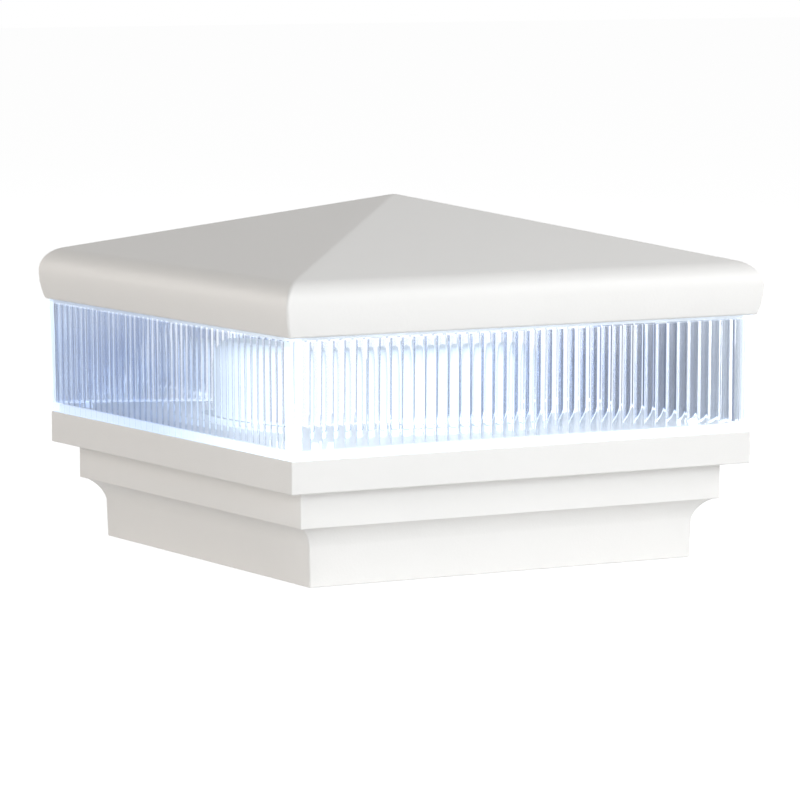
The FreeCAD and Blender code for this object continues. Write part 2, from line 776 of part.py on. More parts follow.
def make_board_plug():
    body = new_body("board_plug")
    block = sketch_in(body, "board_plug_outline", "board_top")
    rectangle(block, "-1 * plug_edge", "plug_length - plug_edge", "-1 * plug_width / 2", "plug_width / 2")
    grow(body, "Pad", block, "plug_height")
    return body


def make_diffuser_dome():
    body = new_body("diffuser_dome")
    profile = sketch_in(body, "dome_profile", "0", "XZ_Plane")
    points = [
        ("0", "dome_bore_top"),
        ("dome_bore - dome_bore_shoulder", "dome_bore_top"),
        ("dome_bore", "dome_spring"),
        ("dome_bore", "deck_top"),
        ("sink_radius", "deck_top"),
        ("sink_radius", "dome_flange_top"),
        ("dome_radius", "dome_flange_top"),
        ("dome_radius", "dome_spring"),
        ("dome_radius - dome_shoulder", "dome_top"),
        ("0", "dome_top"),
    ]
    outline(profile, points, {1: ("dome_bore_shoulder", -1), 7: ("dome_shoulder", 1)})
    spin = body.newObject("PartDesign::Revolution", "dome_turned")
    spin.Profile = profile
    spin.ReferenceAxis = (profile, ["V_Axis"])
    spin.Angle = 360
    holes = sketch_in(body, "dome_holes", "dome_flange_top + overrun")
    circles(holes, DOME_SCREWS, "screw_hole")
    grow(body, "Pocket", holes, "dome_flange_thickness + 2 * overrun")
    return body


# ---- driver

def make_driver_case():
    body = new_body("driver_case")
    block = sketch_in(body, "case_outline", "plate_top")
    rectangle(block, "case_left", "case_right", "case_near", "case_far")
    grow(body, "Pad", block, "case_height")
    hollow = sketch_in(body, "case_hollow", "case_top")
    rectangle(hollow, "case_left + case_wall", "case_right - case_wall",
              "case_near + case_wall", "case_far - case_wall")
    grow(body, "Pocket", hollow, "case_height - case_wall")
    ears = sketch_in(body, "case_ears", "plate_top")
    left, right = "case_mid - ear_width / 2", "case_mid + ear_width / 2"
    rectangle(ears, left, right, "case_near - ear_length", "case_near + case_wall / 2")
    rectangle(ears, left, right, "case_far - case_wall / 2", "case_far + ear_length")
    grow(body, "Pad", ears, "ear_thickness")
    ear_holes = sketch_in(body, "case_ear_holes", "ear_top + overrun")
    circles(ear_holes, CASE_SCREWS, "screw_hole")
    grow(body, "Pocket", ear_holes, "ear_thickness + 2 * overrun")
    standoffs = sketch_in(body, "case_standoffs", "plate_top + case_wall / 2")
    inset = "case_wall + driver_board_gap + standoff_radius"
    for x in (f"case_left + {inset}", f"case_right - ({inset})"):
        for y in (f"case_near + {inset}", f"case_far - ({inset})"):
            circle(standoffs, x, y, "standoff_radius")
    grow(body, "Pad", standoffs, "standoff_height + case_wall / 2")
    supply = sketch_in(body, "case_supply_holes", minus("case_near - overrun"), "XZ_Plane")
    circles(supply, [(x, "lead_z") for x in SUPPLY_ENDS], "lead_hole")
    grow(body, "Pocket", supply, "case_wall + 2 * overrun")
    outlet = sketch_in(body, "case_led_holes", "case_right + overrun", "YZ_Plane")
    circles(outlet, [(y, "lead_z") for y in LED_LEAD_ROWS], "lead_hole")
    grow(body, "Pocket", outlet, "case_wall + 2 * overrun")
    return body


def make_driver_lid():
    body = new_body("driver_lid")
    slab = sketch_in(body, "lid_outline", "case_top")
    rectangle(slab, "case_left", "case_right", "case_near", "case_far")
    grow(body, "Pad", slab, "lid_thickness")
    lip = sketch_in(body, "lid_lip_outline", "case_top")
    for inset in ("case_wall + clearance_gap", "case_wall + clearance_gap + lid_lip"):
        rectangle(lip, f"case_left + {inset}", f"case_right - ({inset})",
                  f"case_near + {inset}", f"case_far - ({inset})")
    grow(body, "Pad", lip, "lid_lip", backwards=True)
    return body


def make_driver_board():
    body = new_body("driver_board")
    slab = sketch_in(body, "driver_board_outline", "driver_bottom")
    inset = "case_wall + driver_board_gap"
    rectangle(slab, f"case_left + {inset}", f"case_right - ({inset})",
              f"case_near + {inset}", f"case_far - ({inset})")
    grow(body, "Pad", slab, "driver_board_thickness")
    return body


def on_board(name, x, y, length, width, height):
    """A box of that size on the driver board, centred on (x, y) from the middle of the case."""
    x, y = f"case_mid + {x}", f"case_middle + {y}"
    low = (f"{x} - {length} / 2", f"{y} - {width} / 2", "driver_top")
    high = (f"{x} + {length} / 2", f"{y} + {width} / 2", f"driver_top + {height}")
    return box(name, low, high)


def make_headers():
    """The sockets on the driver board that take the supply's and the emitters' leads."""
    supply_x = f"({SUPPLY_ENDS[0]} + {SUPPLY_ENDS[1]}) / 2"
    supply = box("supply_header", (f"{supply_x} - supply_pitch", "supply_header_near", "driver_top"),
                 (f"{supply_x} + supply_pitch", "supply_header_near + header_length",
                  "driver_top + header_height"))
    outlet = box("led_header",
                 ("led_header_right - header_length", "-1 * led_header_width / 2", "driver_top"),
                 ("led_header_right", "led_header_width / 2", "driver_top + header_height"))
    return [supply, outlet]


def make_choke_coil():
    flange, half_flange = "choke_flange_thickness", "choke_flange_thickness / 2"
    bobbin = []
    for name, radius, bottom, top in (
        ("low", "choke_flange_radius", "0", flange),
        ("core", "choke_core_radius", half_flange, f"choke_height - {half_flange}"),
        ("high", "choke_flange_radius", f"choke_height - {flange}", "choke_height"),
    ):
        bobbin.append(cylinder(f"choke_{name}", "case_mid + choke_x", "case_middle + choke_y",
                               f"driver_top + {bottom}", f"driver_top + {top}", radius))
    return combine("MultiFuse", "choke_coil", bobbin)


def make_capacitor():
    can = doc.addObject("Part::Cylinder", "smoothing_capacitor")
    can.Placement = FreeCAD.Placement(Vector(0, 0, 0), Rotation(Vector(1, 0, 0), 90))
    bind(can, "Radius", "capacitor_radius")
    bind(can, "Height", "capacitor_length")
    return move_to(can, "case_mid + capacitor_x", "case_middle + capacitor_y",
                   "driver_top + capacitor_radius + capacitor_gap")


def make_driver_parts():
    """The circuit on the driver board: headers, bridge rectifier, chip, resistors, capacitor, choke."""
    rectifier, chip = (
        on_board(name, f"{size}_x", f"{size}_y", f"{size}_length", f"{size}_width", f"{size}_height")
        for name, size in (("bridge_rectifier", "rectifier"), ("driver_chip", "chip")))
    resistors = [on_board(f"chip_resistor_{i}", f"resistor_first_x + {i} * resistor_pitch", "resistor_y",
                          "resistor_length", "resistor_width", "resistor_height")
                 for i in range(int(value("resistor_count")))]
    return [*make_headers(), rectifier, chip, combine("Compound", "chip_resistors", resistors),
            make_capacitor(), make_choke_coil()]


# ---- terminals

def make_terminals():
    far = "block_near + block_length"
    block = box("block_body", ("block_left", "block_near", "plate_top"),
                ("block_left + block_width", far, "block_top"))
    hollows = [cylinder("block_screw_well", "block_mid", "block_centre_y", "plate_top + ear_thickness",
                        "block_top + overrun", "screw_head_radius + clearance_gap"),
               cylinder("block_screw_way", "block_mid", "block_centre_y", "plate_top - overrun",
                        "block_top + overrun", "screw_hole")]
    inserts, screws = [], []
    for i, x in enumerate(POLES, start=1):
        half, way = "insert_size / 2", "(insert_size / 2 + insert_gap)"
        hollows.append(box(f"pole_way_{i}", (f"{x} - {way}", "block_near - overrun", f"lead_z - {way}"),
                           (f"{x} + {way}", f"{far} + overrun", f"lead_z + {way}")))
        brass = box(f"insert_body_{i}",
                    (f"{x} - {half}", "block_near + insert_recess", f"lead_z - {half}"),
                    (f"{x} + {half}", f"{far} - insert_recess", f"lead_z + {half}"))
        bore = doc.addObject("Part::Cylinder", f"insert_bore_{i}")
        bore.Placement = FreeCAD.Placement(Vector(0, 0, 0), Rotation(Vector(1, 0, 0), -90))
        bind(bore, "Radius", "lead_radius + thread_gap")
        bind(bore, "Height", "block_length + 2 * overrun")
        move_to(bore, x, "block_near - overrun", "lead_z")
        ways = [bore]
        for step, side in ((-0.5, "near"), (0.5, "far")):
            y = f"block_centre_y + {step} * clamp_screw_spacing"
            name = f"clamp_{side}_{i}"
            seat = f"lead_z + {half} + clamp_screw_gap"
            ways.append(cylinder(name + "_tapping", x, y, "lead_z", f"lead_z + {half} + overrun",
                                 "clamp_screw_radius + thread_gap"))
            hollows.append(cylinder(name + "_well", x, y, "lead_z", "block_top + overrun",
                                    "board_screw_head_radius + clearance_gap"))
            screws.append(pan_screw(name, x, y, seat, "insert_size / 2 - lead_radius",
                                    shank="clamp_screw_radius", head="board_screw_head_radius"))
        inserts.append(cut(f"terminal_insert_{i}", brass, ways))
    return [cut("terminal_block", block, hollows), combine("Compound", "terminal_inserts", inserts),
            combine("Compound", "terminal_screws", screws)]


# ---- leads: straight runs joined by tangent arcs

def lead(name, corners, radii):
    """A round lead through the corner points, each turn an arc of its own radius."""
    start = corners[0]
    edges = []
    for i, radius in enumerate(radii, start=1):
        before, corner, after = corners[i - 1], corners[i], corners[i + 1]
        back = (before - corner).normalize()
        ahead = (after - corner).normalize()
        half_turn = (math.pi - back.getAngle(ahead)) / 2
        setback = radius * math.tan(half_turn)
        a, b = corner + back * setback, corner + ahead * setback
        bisector = (back + ahead).normalize()
        middle = corner + bisector * (radius / math.cos(half_turn) - radius)
        edges.append(Part.LineSegment(start, a).toShape())
        edges.append(Part.Arc(a, middle, b).toShape())
        start = b
    edges.append(Part.LineSegment(start, corners[-1]).toShape())
    path = Part.Wire(edges)
    thickness = value("lead_radius")
    direction = (corners[1] - corners[0]).normalize()
    ring = Part.Wire(Part.Circle(corners[0], direction, thickness).toShape())
    thing = doc.addObject("Part::Feature", name)
    thing.Label = name
    thing.Shape = path.makePipeShell([ring], True, False)
    ratio = thing.Shape.Volume / (math.pi * thickness ** 2 * path.Length)
    print(f"{name}: {path.Length:.1f} mm long, bends {radii}, volume / (section x length) {ratio:.4f}")
    assert abs(ratio - 1) < PIPE_TOLERANCE
    return thing


def make_leads():
    leads = []
    z = value("lead_z")
    bend = value("supply_bend")
    header = value("supply_header_near")
    start_y = value("block_near + lead_grip")
    for i, colour in enumerate(("red", "black")):
        start_x, end_x = value(POLES[i]), value(SUPPLY_ENDS[i])
        run_y = value("case_near - supply_run") - i * value("supply_pitch")
        corners = [Vector(start_x, start_y, z), Vector(start_x, run_y, z),
                   Vector(end_x, run_y, z), Vector(end_x, header, z)]
        leads.append(lead(f"supply_lead_{colour}", corners, [bend, bend]))
    start_x = value("led_header_right")
    up_x, end_x = -value("led_lead_x"), -value("plug_edge")
    top_z = value("plug_lead_z")
    bends = [value("led_lead_bend"), value("led_lead_top_bend")]
    for i, colour in enumerate(("red", "black")):
        y = value(LED_LEAD_ROWS[i])
        corners = [Vector(start_x, y, z), Vector(up_x, y, z), Vector(up_x, y, top_z), Vector(end_x, y, top_z)]
        leads.append(lead(f"led_lead_{colour}", corners, bends))
    return leads


nodes = [
    make_base_collar(),
    make_base_plate(),
    screw_set("plate_screws", PLATE_SCREWS, "plate_top", "plate_screw_length"),
    make_cable_grommet(),
    *make_gaskets(),
    make_lens_ring(),
    make_roof_cap(),
    make_light_deck(),
    screw_set("deck_screws", DECK_SCREWS, "deck_top", "deck_screw_length"),
    make_heat_sink(),
    make_disc("thermal_pad", "deck_top", "thermal_pad_thickness"),
    make_disc("led_board", "pad_top", "led_board_thickness"),
    *make_leds(),
    screw_set("board_screws", BOARD_SCREWS, "board_top", "small_screw_length",
              shank="board_screw_radius", head="board_screw_head_radius"),
    make_board_plug(),
    make_diffuser_dome(),
    screw_set("dome_screws", DOME_SCREWS, "dome_flange_top",
              "dome_flange_thickness + deck_thickness + sink_thickness"),
    make_driver_case(),
    make_driver_lid(),
    make_driver_board(),
    *make_driver_parts(),
    screw_set("case_screws", CASE_SCREWS, "ear_top", "small_screw_length"),
    *make_terminals(),
    screw_set("block_screw", BLOCK_SCREW, "plate_top + ear_thickness", "small_screw_length"),
    *make_leads(),
]

doc.recompute()
for thing in doc.Objects:
    if "Invalid" in thing.State or "Error" in thing.State:
        raise RuntimeError(f"{thing.Name} did not build: {thing.State}")
for node in nodes:
    if node.Shape.isNull() or not node.Shape.isValid():
        raise RuntimeError(f"{node.Label} has no valid shape")

os.makedirs("parts", exist_ok=True)
for node in nodes:
    node.Shape.exportStep(f"parts/{node.Label}.step")
    bounds = node.Shape.BoundBox
    print(f"{node.Label:22s} solids {len(node.Shape.Solids)}  volume {node.Shape.Volume:10.1f}  "
          f"z {bounds.ZMin:6.2f} to {bounds.ZMax:6.2f}")
print(f"{len(nodes)} nodes, {value('roof_half') * 2:.1f} mm wide, {value('apex'):.1f} mm high")
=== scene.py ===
import json
import math

import bmesh
import bpy
from bpy.props import FloatProperty, FloatVectorProperty, IntProperty, PointerProperty
from mathutils import Matrix, Vector


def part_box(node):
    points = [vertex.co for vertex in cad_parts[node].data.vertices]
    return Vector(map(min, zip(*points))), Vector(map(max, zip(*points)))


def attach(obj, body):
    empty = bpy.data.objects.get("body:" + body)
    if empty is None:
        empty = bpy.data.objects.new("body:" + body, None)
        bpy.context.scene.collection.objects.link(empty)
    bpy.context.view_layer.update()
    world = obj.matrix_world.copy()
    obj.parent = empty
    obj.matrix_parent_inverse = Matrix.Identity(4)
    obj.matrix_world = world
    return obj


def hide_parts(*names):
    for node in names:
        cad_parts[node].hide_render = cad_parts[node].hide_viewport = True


bl_info = {
    "name": "Post cap light",
    "version": (1, 0, 0),
    "blender": (4, 5, 0),
    "location": "3D View > Sidebar > Post cap light",
    "description": "Models and finishes a lit deck post cap light round its packed frame",
    "category": "Object",
}

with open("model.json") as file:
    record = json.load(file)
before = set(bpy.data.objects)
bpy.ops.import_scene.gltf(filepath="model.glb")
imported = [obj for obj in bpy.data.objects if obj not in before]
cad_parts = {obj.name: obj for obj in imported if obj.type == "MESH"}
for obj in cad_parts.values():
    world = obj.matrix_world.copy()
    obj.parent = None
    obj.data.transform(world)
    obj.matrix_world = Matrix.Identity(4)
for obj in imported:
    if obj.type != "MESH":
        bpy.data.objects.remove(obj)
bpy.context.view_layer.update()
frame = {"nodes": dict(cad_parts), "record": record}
MM = 0.001
NEAR = 1e-6  # in metres: points closer than this are at one place

# ---- the shells' profiles, in millimetres: half widths of square rings, heights and radii

FLANGE_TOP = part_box("lens_ring")[0].z / MM
LENS_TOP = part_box("lens_ring")[1].z / MM
ROOF_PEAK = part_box("roof_cap")[1].z / MM
ROOF_SLOPE = math.radians(13.7)
ROOF_WALL = 2.6
RIM_BORE_HALF = 78.42
EAVE_HALF, EAVE_LEVEL, EAVE_RADIUS = 84.0, 85.4, 27.0
NOSE_RADIUS = 7.8
SKIRT_HALF, TIER_HALF, FLANGE_HALF = 67.6, 74.3, 81.0
TIER_BOTTOM, FLANGE_BOTTOM = 18.7, 30.1
COVE_FOOT, COVE_HEAD, COVE_RADIUS = (67.95, 12.0), (73.15, TIER_BOTTOM), 9.5
LENS_FOOT_HALF, LENS_HEAD_HALF, LENS_BORE_HALF = 80.85, 81.5, 77.65
REED_DEPTH, REED_GAP = 1.1, 0.3
FOOT_BORDER, HEAD_BORDER = 3.0, 1.3
GASKET_WIDTH, GASKET_DEPTH = 1.4, 0.9
SOCKET_HALF, SOCKET_DEPTH = 64.8, 20.5
LEDGE_HALF, LEDGE_TOP = 58.8, 23.5
BAY_HALF, MOUTH_HALF, MOUTH_BOTTOM = 71.5, 74.9, 33.0
FINGER_IN, FINGER_OUT, FINGER_WIDTH = 72.25, 76.25, 3.0
FINGER_DEPTH, FINGER_HEIGHT, FINGER_SPACING = 1.5, 8.0, 50.0
RIB_DEPTH, RIB_WIDTH, RIB_LEAD, RIB_OFFSET = 1.0, 2.0, 2.0, 40.0
BLOCK_EDGE, JOINT_OVERLAP = 0.3, 0.2

# ---- how finely the shells are drawn: strips of a rounding, creases, and welds in millimetres

EAVE_STEPS, ROOF_STRIPS, COLLAR_STRIPS, LENS_STRIPS, BLOCK_STRIPS = 3, 4, 3, 4, 2
CREASE, LENS_CREASE = math.radians(14), math.radians(30)
WELD, REED_WELD, WALL_WELD = 0.001, 0.0005, 0.002


def arc(centre, radius, first, last, steps):
    """Points on a circle, from one angle to another in degrees, both ends included."""
    angles = [math.radians(first + (last - first) * i / steps) for i in range(steps + 1)]
    return [(centre[0] + radius * math.cos(a), centre[1] + radius * math.sin(a)) for a in angles]


def cove(foot, head, radius, steps):
    """Points on the hollow arc between two points, its centre on the outer side."""
    a, b = Vector(foot), Vector(head)
    chord = b - a
    outward = Vector((chord.y, -chord.x)).normalized()
    centre = (a + b) / 2 + outward * math.sqrt(radius ** 2 - chord.length ** 2 / 4)
    first = math.degrees(math.atan2(a.y - centre.y, a.x - centre.x)) % 360
    last = math.degrees(math.atan2(b.y - centre.y, b.x - centre.x)) % 360
    return arc(centre, radius, first, last, steps)


def groove(inner, outer, top):
    """The corners of the gasket's groove half way between two half widths, from its outer edge."""
    middle = (inner + outer) / 2
    first, last = middle + GASKET_WIDTH / 2, middle - GASKET_WIDTH / 2
    bottom = top - GASKET_DEPTH
    return [(first, top), (first, bottom), (last, bottom), (last, top)]


# ---- working by hand: adding, selecting and shaping

def start_edit(kind="VERT"):
    """Opens the active piece in edit mode, to select points, edges or faces."""
    bpy.ops.object.mode_set(mode="EDIT")
    bpy.ops.mesh.select_mode(type=kind)


def end_edit():
    bpy.ops.object.mode_set(mode="OBJECT")


def pick_points(test):
    """Selects the points in edit mode whose place passes the test, and what lies between them."""
    mesh = bmesh.from_edit_mesh(bpy.context.object.data)
    for point in mesh.verts:
        point.select = test(point.co)
    mesh.select_flush(True)
    mesh.select_flush(False)
    bmesh.update_edit_mesh(bpy.context.object.data)


def pick_edges(test):
    """Selects the edges of the mesh in edit mode whose two ends pass the test together."""
    mesh = bmesh.from_edit_mesh(bpy.context.object.data)
    for part in (*mesh.verts, *mesh.edges, *mesh.faces):
        part.select = False
    for edge in mesh.edges:
        if test(edge.verts[0].co, edge.verts[1].co):
            edge.select_set(True)
    bmesh.update_edit_mesh(bpy.context.object.data)


def add_square_ring(name, half, height):
    """Four edges in a square about the origin, selected in edit mode."""
    bpy.ops.object.select_all(action="DESELECT")
    bpy.ops.mesh.primitive_plane_add(size=2 * half * MM, location=(0, 0, height * MM))
    bpy.ops.object.transform_apply(location=True, rotation=True, scale=True)
    bpy.context.object.name = name
    start_edit()
    bpy.ops.mesh.select_all(action="SELECT")
    bpy.ops.mesh.delete(type="ONLY_FACE")
    bpy.ops.mesh.select_all(action="SELECT")


def draw_rings(rings):
    """Extrudes the selected square through the rings; a half width of 0 closes it to a peak."""
    for (half, height), (next_half, next_height) in zip(rings, rings[1:]):
        lift = (0, 0, (next_height - height) * MM)
        bpy.ops.mesh.extrude_edges_move(TRANSFORM_OT_translate={"value": lift})
        if next_half == 0:
            bpy.ops.mesh.merge(type="CENTER")
        elif next_half != half:
            growth = next_half / half
            centre = (0, 0, next_height * MM)
            bpy.ops.transform.resize(value=(growth, growth, 1), center_override=centre)


def weld(distance=WELD):
    """Joins the points that lie together in the mesh in edit mode, and turns its faces outward."""
    bpy.ops.mesh.select_all(action="SELECT")
    bpy.ops.mesh.remove_doubles(threshold=distance * MM)
    bpy.ops.mesh.normals_make_consistent(inside=False)


def soften(piece, width, strips):
    """Rounds every edge sharper than a crease, and keeps the flats flat."""
    bpy.ops.object.shade_smooth_by_angle(angle=CREASE)
    rounding = piece.modifiers.new("soft_edges", "BEVEL")
    rounding.width = width
    rounding.segments = strips
    rounding.limit_method = "ANGLE"
    rounding.angle_limit = CREASE
    rounding.harden_normals = True
    rounding.miter_outer = "MITER_ARC"
    bpy.ops.object.modifier_apply(modifier=rounding.name)


def add_block(name, low, high):
    """A block between two corners in millimetres, selected in edit mode, where it is shaped further."""
    low, high = Vector(low) * MM, Vector(high) * MM
    bpy.ops.object.select_all(action="DESELECT")
    bpy.ops.mesh.primitive_cube_add(size=1, location=(low + high) / 2, scale=high - low)
    bpy.ops.object.transform_apply(location=True, rotation=True, scale=True)
    bpy.context.object.name = name
    start_edit("EDGE")
    bpy.ops.mesh.select_all(action="SELECT")
    return bpy.context.object


def take_round(piece, shifts):
    """Copies a piece to every shift in each quarter turn, and drops the piece itself."""
    copies = []
    for quarter in range(4):
        turn = Matrix.Rotation(math.radians(90 * quarter), 4, "Z")
        for shift in shifts:
            bpy.ops.object.select_all(action="DESELECT")
            piece.select_set(True)
            bpy.context.view_layer.objects.active = piece
            bpy.ops.object.duplicate()
            copies.append(bpy.context.object)
            bpy.context.object.matrix_world = turn @ Matrix.Translation(Vector(shift) * MM)
            bpy.ops.object.transform_apply(location=True, rotation=True, scale=True)
    bpy.data.objects.remove(piece)
    return copies


def join_to(piece, others):
    """Makes the other pieces part of this one."""
    bpy.ops.object.select_all(action="DESELECT")
    for other in (piece, *others):
        other.select_set(True)
    bpy.context.view_layer.objects.active = piece
    bpy.ops.object.join()


def finish_piece(piece, node, body, finish):
    """Puts a modelled piece in the place of its CAD node, with its finish."""
    piece.data.materials.clear()
    piece.data.materials.append(finish)
    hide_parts(node)
    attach(piece, body)


# ---- finishes

# moulded plastic: flow marks and grain as features to the metre, with what they add to the roughness
CLOUD_SCALE, CLOUD_ROUGHNESS, CLOUD_RELIEF = 45.0, 0.08, 4.0
GRAIN_SCALE, GRAIN_ROUGHNESS, GRAIN_DEPTH = 1400.0, 0.05, 0.00003
MOULDED_SPECULAR = 0.35
# metal, rubber and the frosted dome in the same terms, with their levels of colour
STREAK_SCALE, STREAK_ROUGHNESS, STREAK_DEPTH, STREAK_LEVEL = 500.0, 0.16, 0.00001, 0.82
BLOOM_SCALE, BLOOM_ROUGHNESS, BLOOM_LEVELS = 220.0, 0.15, (0.8, 1.25)
DUST_SCALE, DUST_DEPTH, RUBBER_ROUGHNESS = 2600.0, 0.00004, 0.62
FROST_SCALE, FROST_ROUGHNESS, FROST_DEPTH = 900.0, 0.2, 0.00003
DOME_LEVEL, DOME_ROUGHNESS, DOME_FADE, DOME_FADED_LEVEL = 0.45, 0.5, (0.05, 0.95), 0.25

# The clear lens. Painted cold shade on its left and right walls grows from front to back between two places
# in millimetres, and it is deeper in a band round the middle of the height and towards the foot. A slanting
# view tints the lens, from one value of the facing to another, and at the front by a share of this only.
SIDE_SHADE_START, SIDE_SHADE_FULL = -64.0, 25.0
BAND_LEVEL, BAND_REACH = 59.0, 12.0
SIDE_SHADE_SHARE, BAND_SHARE, LOW_SHARE = 0.75, 0.4, 0.5
SLANT_START, SLANT_FULL, SLANT_FRONT = 0.35, 0.75, 0.5
# in millimetres: half the width of the change at a border and at a mitre, and the distances from the
# wall's inner face between which the corner's painted glow grows and the painted shade at the reeds' roots
# ends
BORDER_PASSAGE, MITRE_PASSAGE = 0.2, 0.5
CORNER_START, CORNER_FULL = -0.4, 0.2
ROOT_END, ROOT_INSIDE = 0.5, 0.2
# how far the painted shade at the reeds' roots reaches, in reeds, and how much painted reflection, drawn as
# metal, there is at the front and less at the back
ROOT_EDGE, ROOT_FULL = 0.36, 0.26
ROOT_PAINTED_REFLECTION, ROOT_PAINTED_REFLECTION_LOSS = 0.8, 0.5
# shares of the lens's painted glow at the head and over its plain walls
HEAD_GLOW, PLAIN_GLOW = 0.6, 0.08


class Wire:
    """A socket of a material's nodes; sums written with it add Math nodes."""

    def __init__(self, finish, socket):
        self.finish, self.socket = finish, socket

    def maths(self, operation, first, second):
        return self.finish.node("ShaderNodeMath", {"operation": operation}, {0: first, 1: second})

    def __add__(self, other):
        return self.maths("ADD", self, other)

    def __sub__(self, other):
        return self.maths("SUBTRACT", self, other)

    def __rsub__(self, other):
        return self.maths("SUBTRACT", other, self)

    def __mul__(self, other):
        return self.maths("MULTIPLY", self, other)

    def absolute(self):
        return self.maths("ABSOLUTE", self, 0)

    def minimum(self, other):
        return self.maths("MINIMUM", self, other)

    def maximum(self, other):
        return self.maths("MAXIMUM", self, other)


class Finish:
    """The nodes of a material or of the world, built so that they end in one shader."""

    def __init__(self, owner):
        owner.use_nodes = True
        self.owner, self.tree = owner, owner.node_tree
        self.tree.nodes.clear()

    def node(self, kind, settings=None, sockets=None, output=0):
        """Adds a node: its settings first, then its sockets' values or links; gives an output."""
        node = self.tree.nodes.new(kind)
        for name, value in (settings or {}).items():
            setattr(node, name, value)
        for name, value in (sockets or {}).items():
            if isinstance(value, Wire):
                self.tree.links.new(value.socket, node.inputs[name])
            else:
                node.inputs[name].default_value = value
        return Wire(self, node.outputs[output]) if node.outputs else None

    def place(self):
        """Where a point lies on the piece, in metres."""
        return self.node("ShaderNodeTexCoord", output="Object")

    def noise(self, scale, detail=2.0, stretch=None):
        """Noise from 0 to 1 over the piece, with so many features to the metre."""
        place = self.place()
        if stretch:
            place = self.node("ShaderNodeMapping", sockets={"Vector": place, "Scale": stretch})
        sockets = {"Vector": place, "Scale": scale, "Detail": detail}
        return self.node("ShaderNodeTexNoise", sockets=sockets)

    def parts(self, vector):
        """The three numbers of a vector."""
        split = self.node("ShaderNodeSeparateXYZ", sockets={0: vector}).socket.node
        return [Wire(self, socket) for socket in split.outputs]

    def facing(self):
        """0 where the piece faces the view, 1 where it turns away."""
        return self.node("ShaderNodeLayerWeight", sockets={"Blend": 0.5}, output="Facing")

    def ramp(self, number, start, end):
        """0 at the start, 1 at the end, held outside."""
        return self.node("ShaderNodeMapRange", sockets={0: number, 1: start, 2: end})

    def between(self, factor, first, second):
        """The mix of two colours."""
        settings = {"data_type": "RGBA"}
        return self.node("ShaderNodeMix", settings, {0: factor, 6: first, 7: second}, output=2)

    def relief(self, height, depth):
        """A normal tilted by the height, which is worth so many metres."""
        return self.node("ShaderNodeBump", sockets={"Height": height, "Distance": depth})

    def surface(self, sockets):
        """Ends the material in a Principled shader with these sockets."""
        shader = self.node("ShaderNodeBsdfPrincipled", sockets=sockets)
        self.node("ShaderNodeOutputMaterial", sockets={"Surface": shader})
        return self.owner


def rgba(colour, level=1.0):
    return (*(channel * level for channel in colour[:3]), 1.0)


def grey(level):
    return level, level, level, 1.0


def moulded_finish(name, colour, roughness, mottle=0.03, grain=GRAIN_DEPTH, extra=None):
    """Moulded plastic: faint cloudy flow marks, a fine grain, and gloss that varies a little."""
    finish = Finish(bpy.data.materials.new(name))
    clouds = finish.noise(CLOUD_SCALE, detail=3.0)
    fine = finish.noise(GRAIN_SCALE)
    least = roughness - (CLOUD_ROUGHNESS + GRAIN_ROUGHNESS) / 2
    return finish.surface({
        "Base Color": finish.between(clouds, rgba(colour, 1 - mottle), rgba(colour)),
        "Roughness": clouds * CLOUD_ROUGHNESS + fine * GRAIN_ROUGHNESS + least,
        "Normal": finish.relief(fine + clouds * CLOUD_RELIEF, grain),
        "Specular IOR Level": MOULDED_SPECULAR,
        **(extra or {}),
    })


def metal_finish(name, colour, roughness, stretch=(1.0, 1.0, 12.0)):
    """Bare or plated metal with fine streaks across the axis with the largest stretch."""
    finish = Finish(bpy.data.materials.new(name))
    streaks = finish.noise(STREAK_SCALE, detail=4.0, stretch=stretch)
    return finish.surface({
        "Base Color": finish.between(streaks, rgba(colour, STREAK_LEVEL), rgba(colour)),
        "Metallic": 1.0,
        "Roughness": streaks * STREAK_ROUGHNESS + (roughness - STREAK_ROUGHNESS / 2),
        "Normal": finish.relief(streaks, STREAK_DEPTH),
    })


def rubber_finish(name, colour):
    """Matt rubber with a dusty bloom."""
    finish = Finish(bpy.data.materials.new(name))
    bloom = finish.noise(BLOOM_SCALE, detail=5.0)
    dark, pale = (rgba(colour, level) for level in BLOOM_LEVELS)
    return finish.surface({
        "Base Color": finish.between(bloom, dark, pale),
        "Roughness": bloom * BLOOM_ROUGHNESS + RUBBER_ROUGHNESS,
        "Normal": finish.relief(finish.noise(DUST_SCALE), DUST_DEPTH),
    })


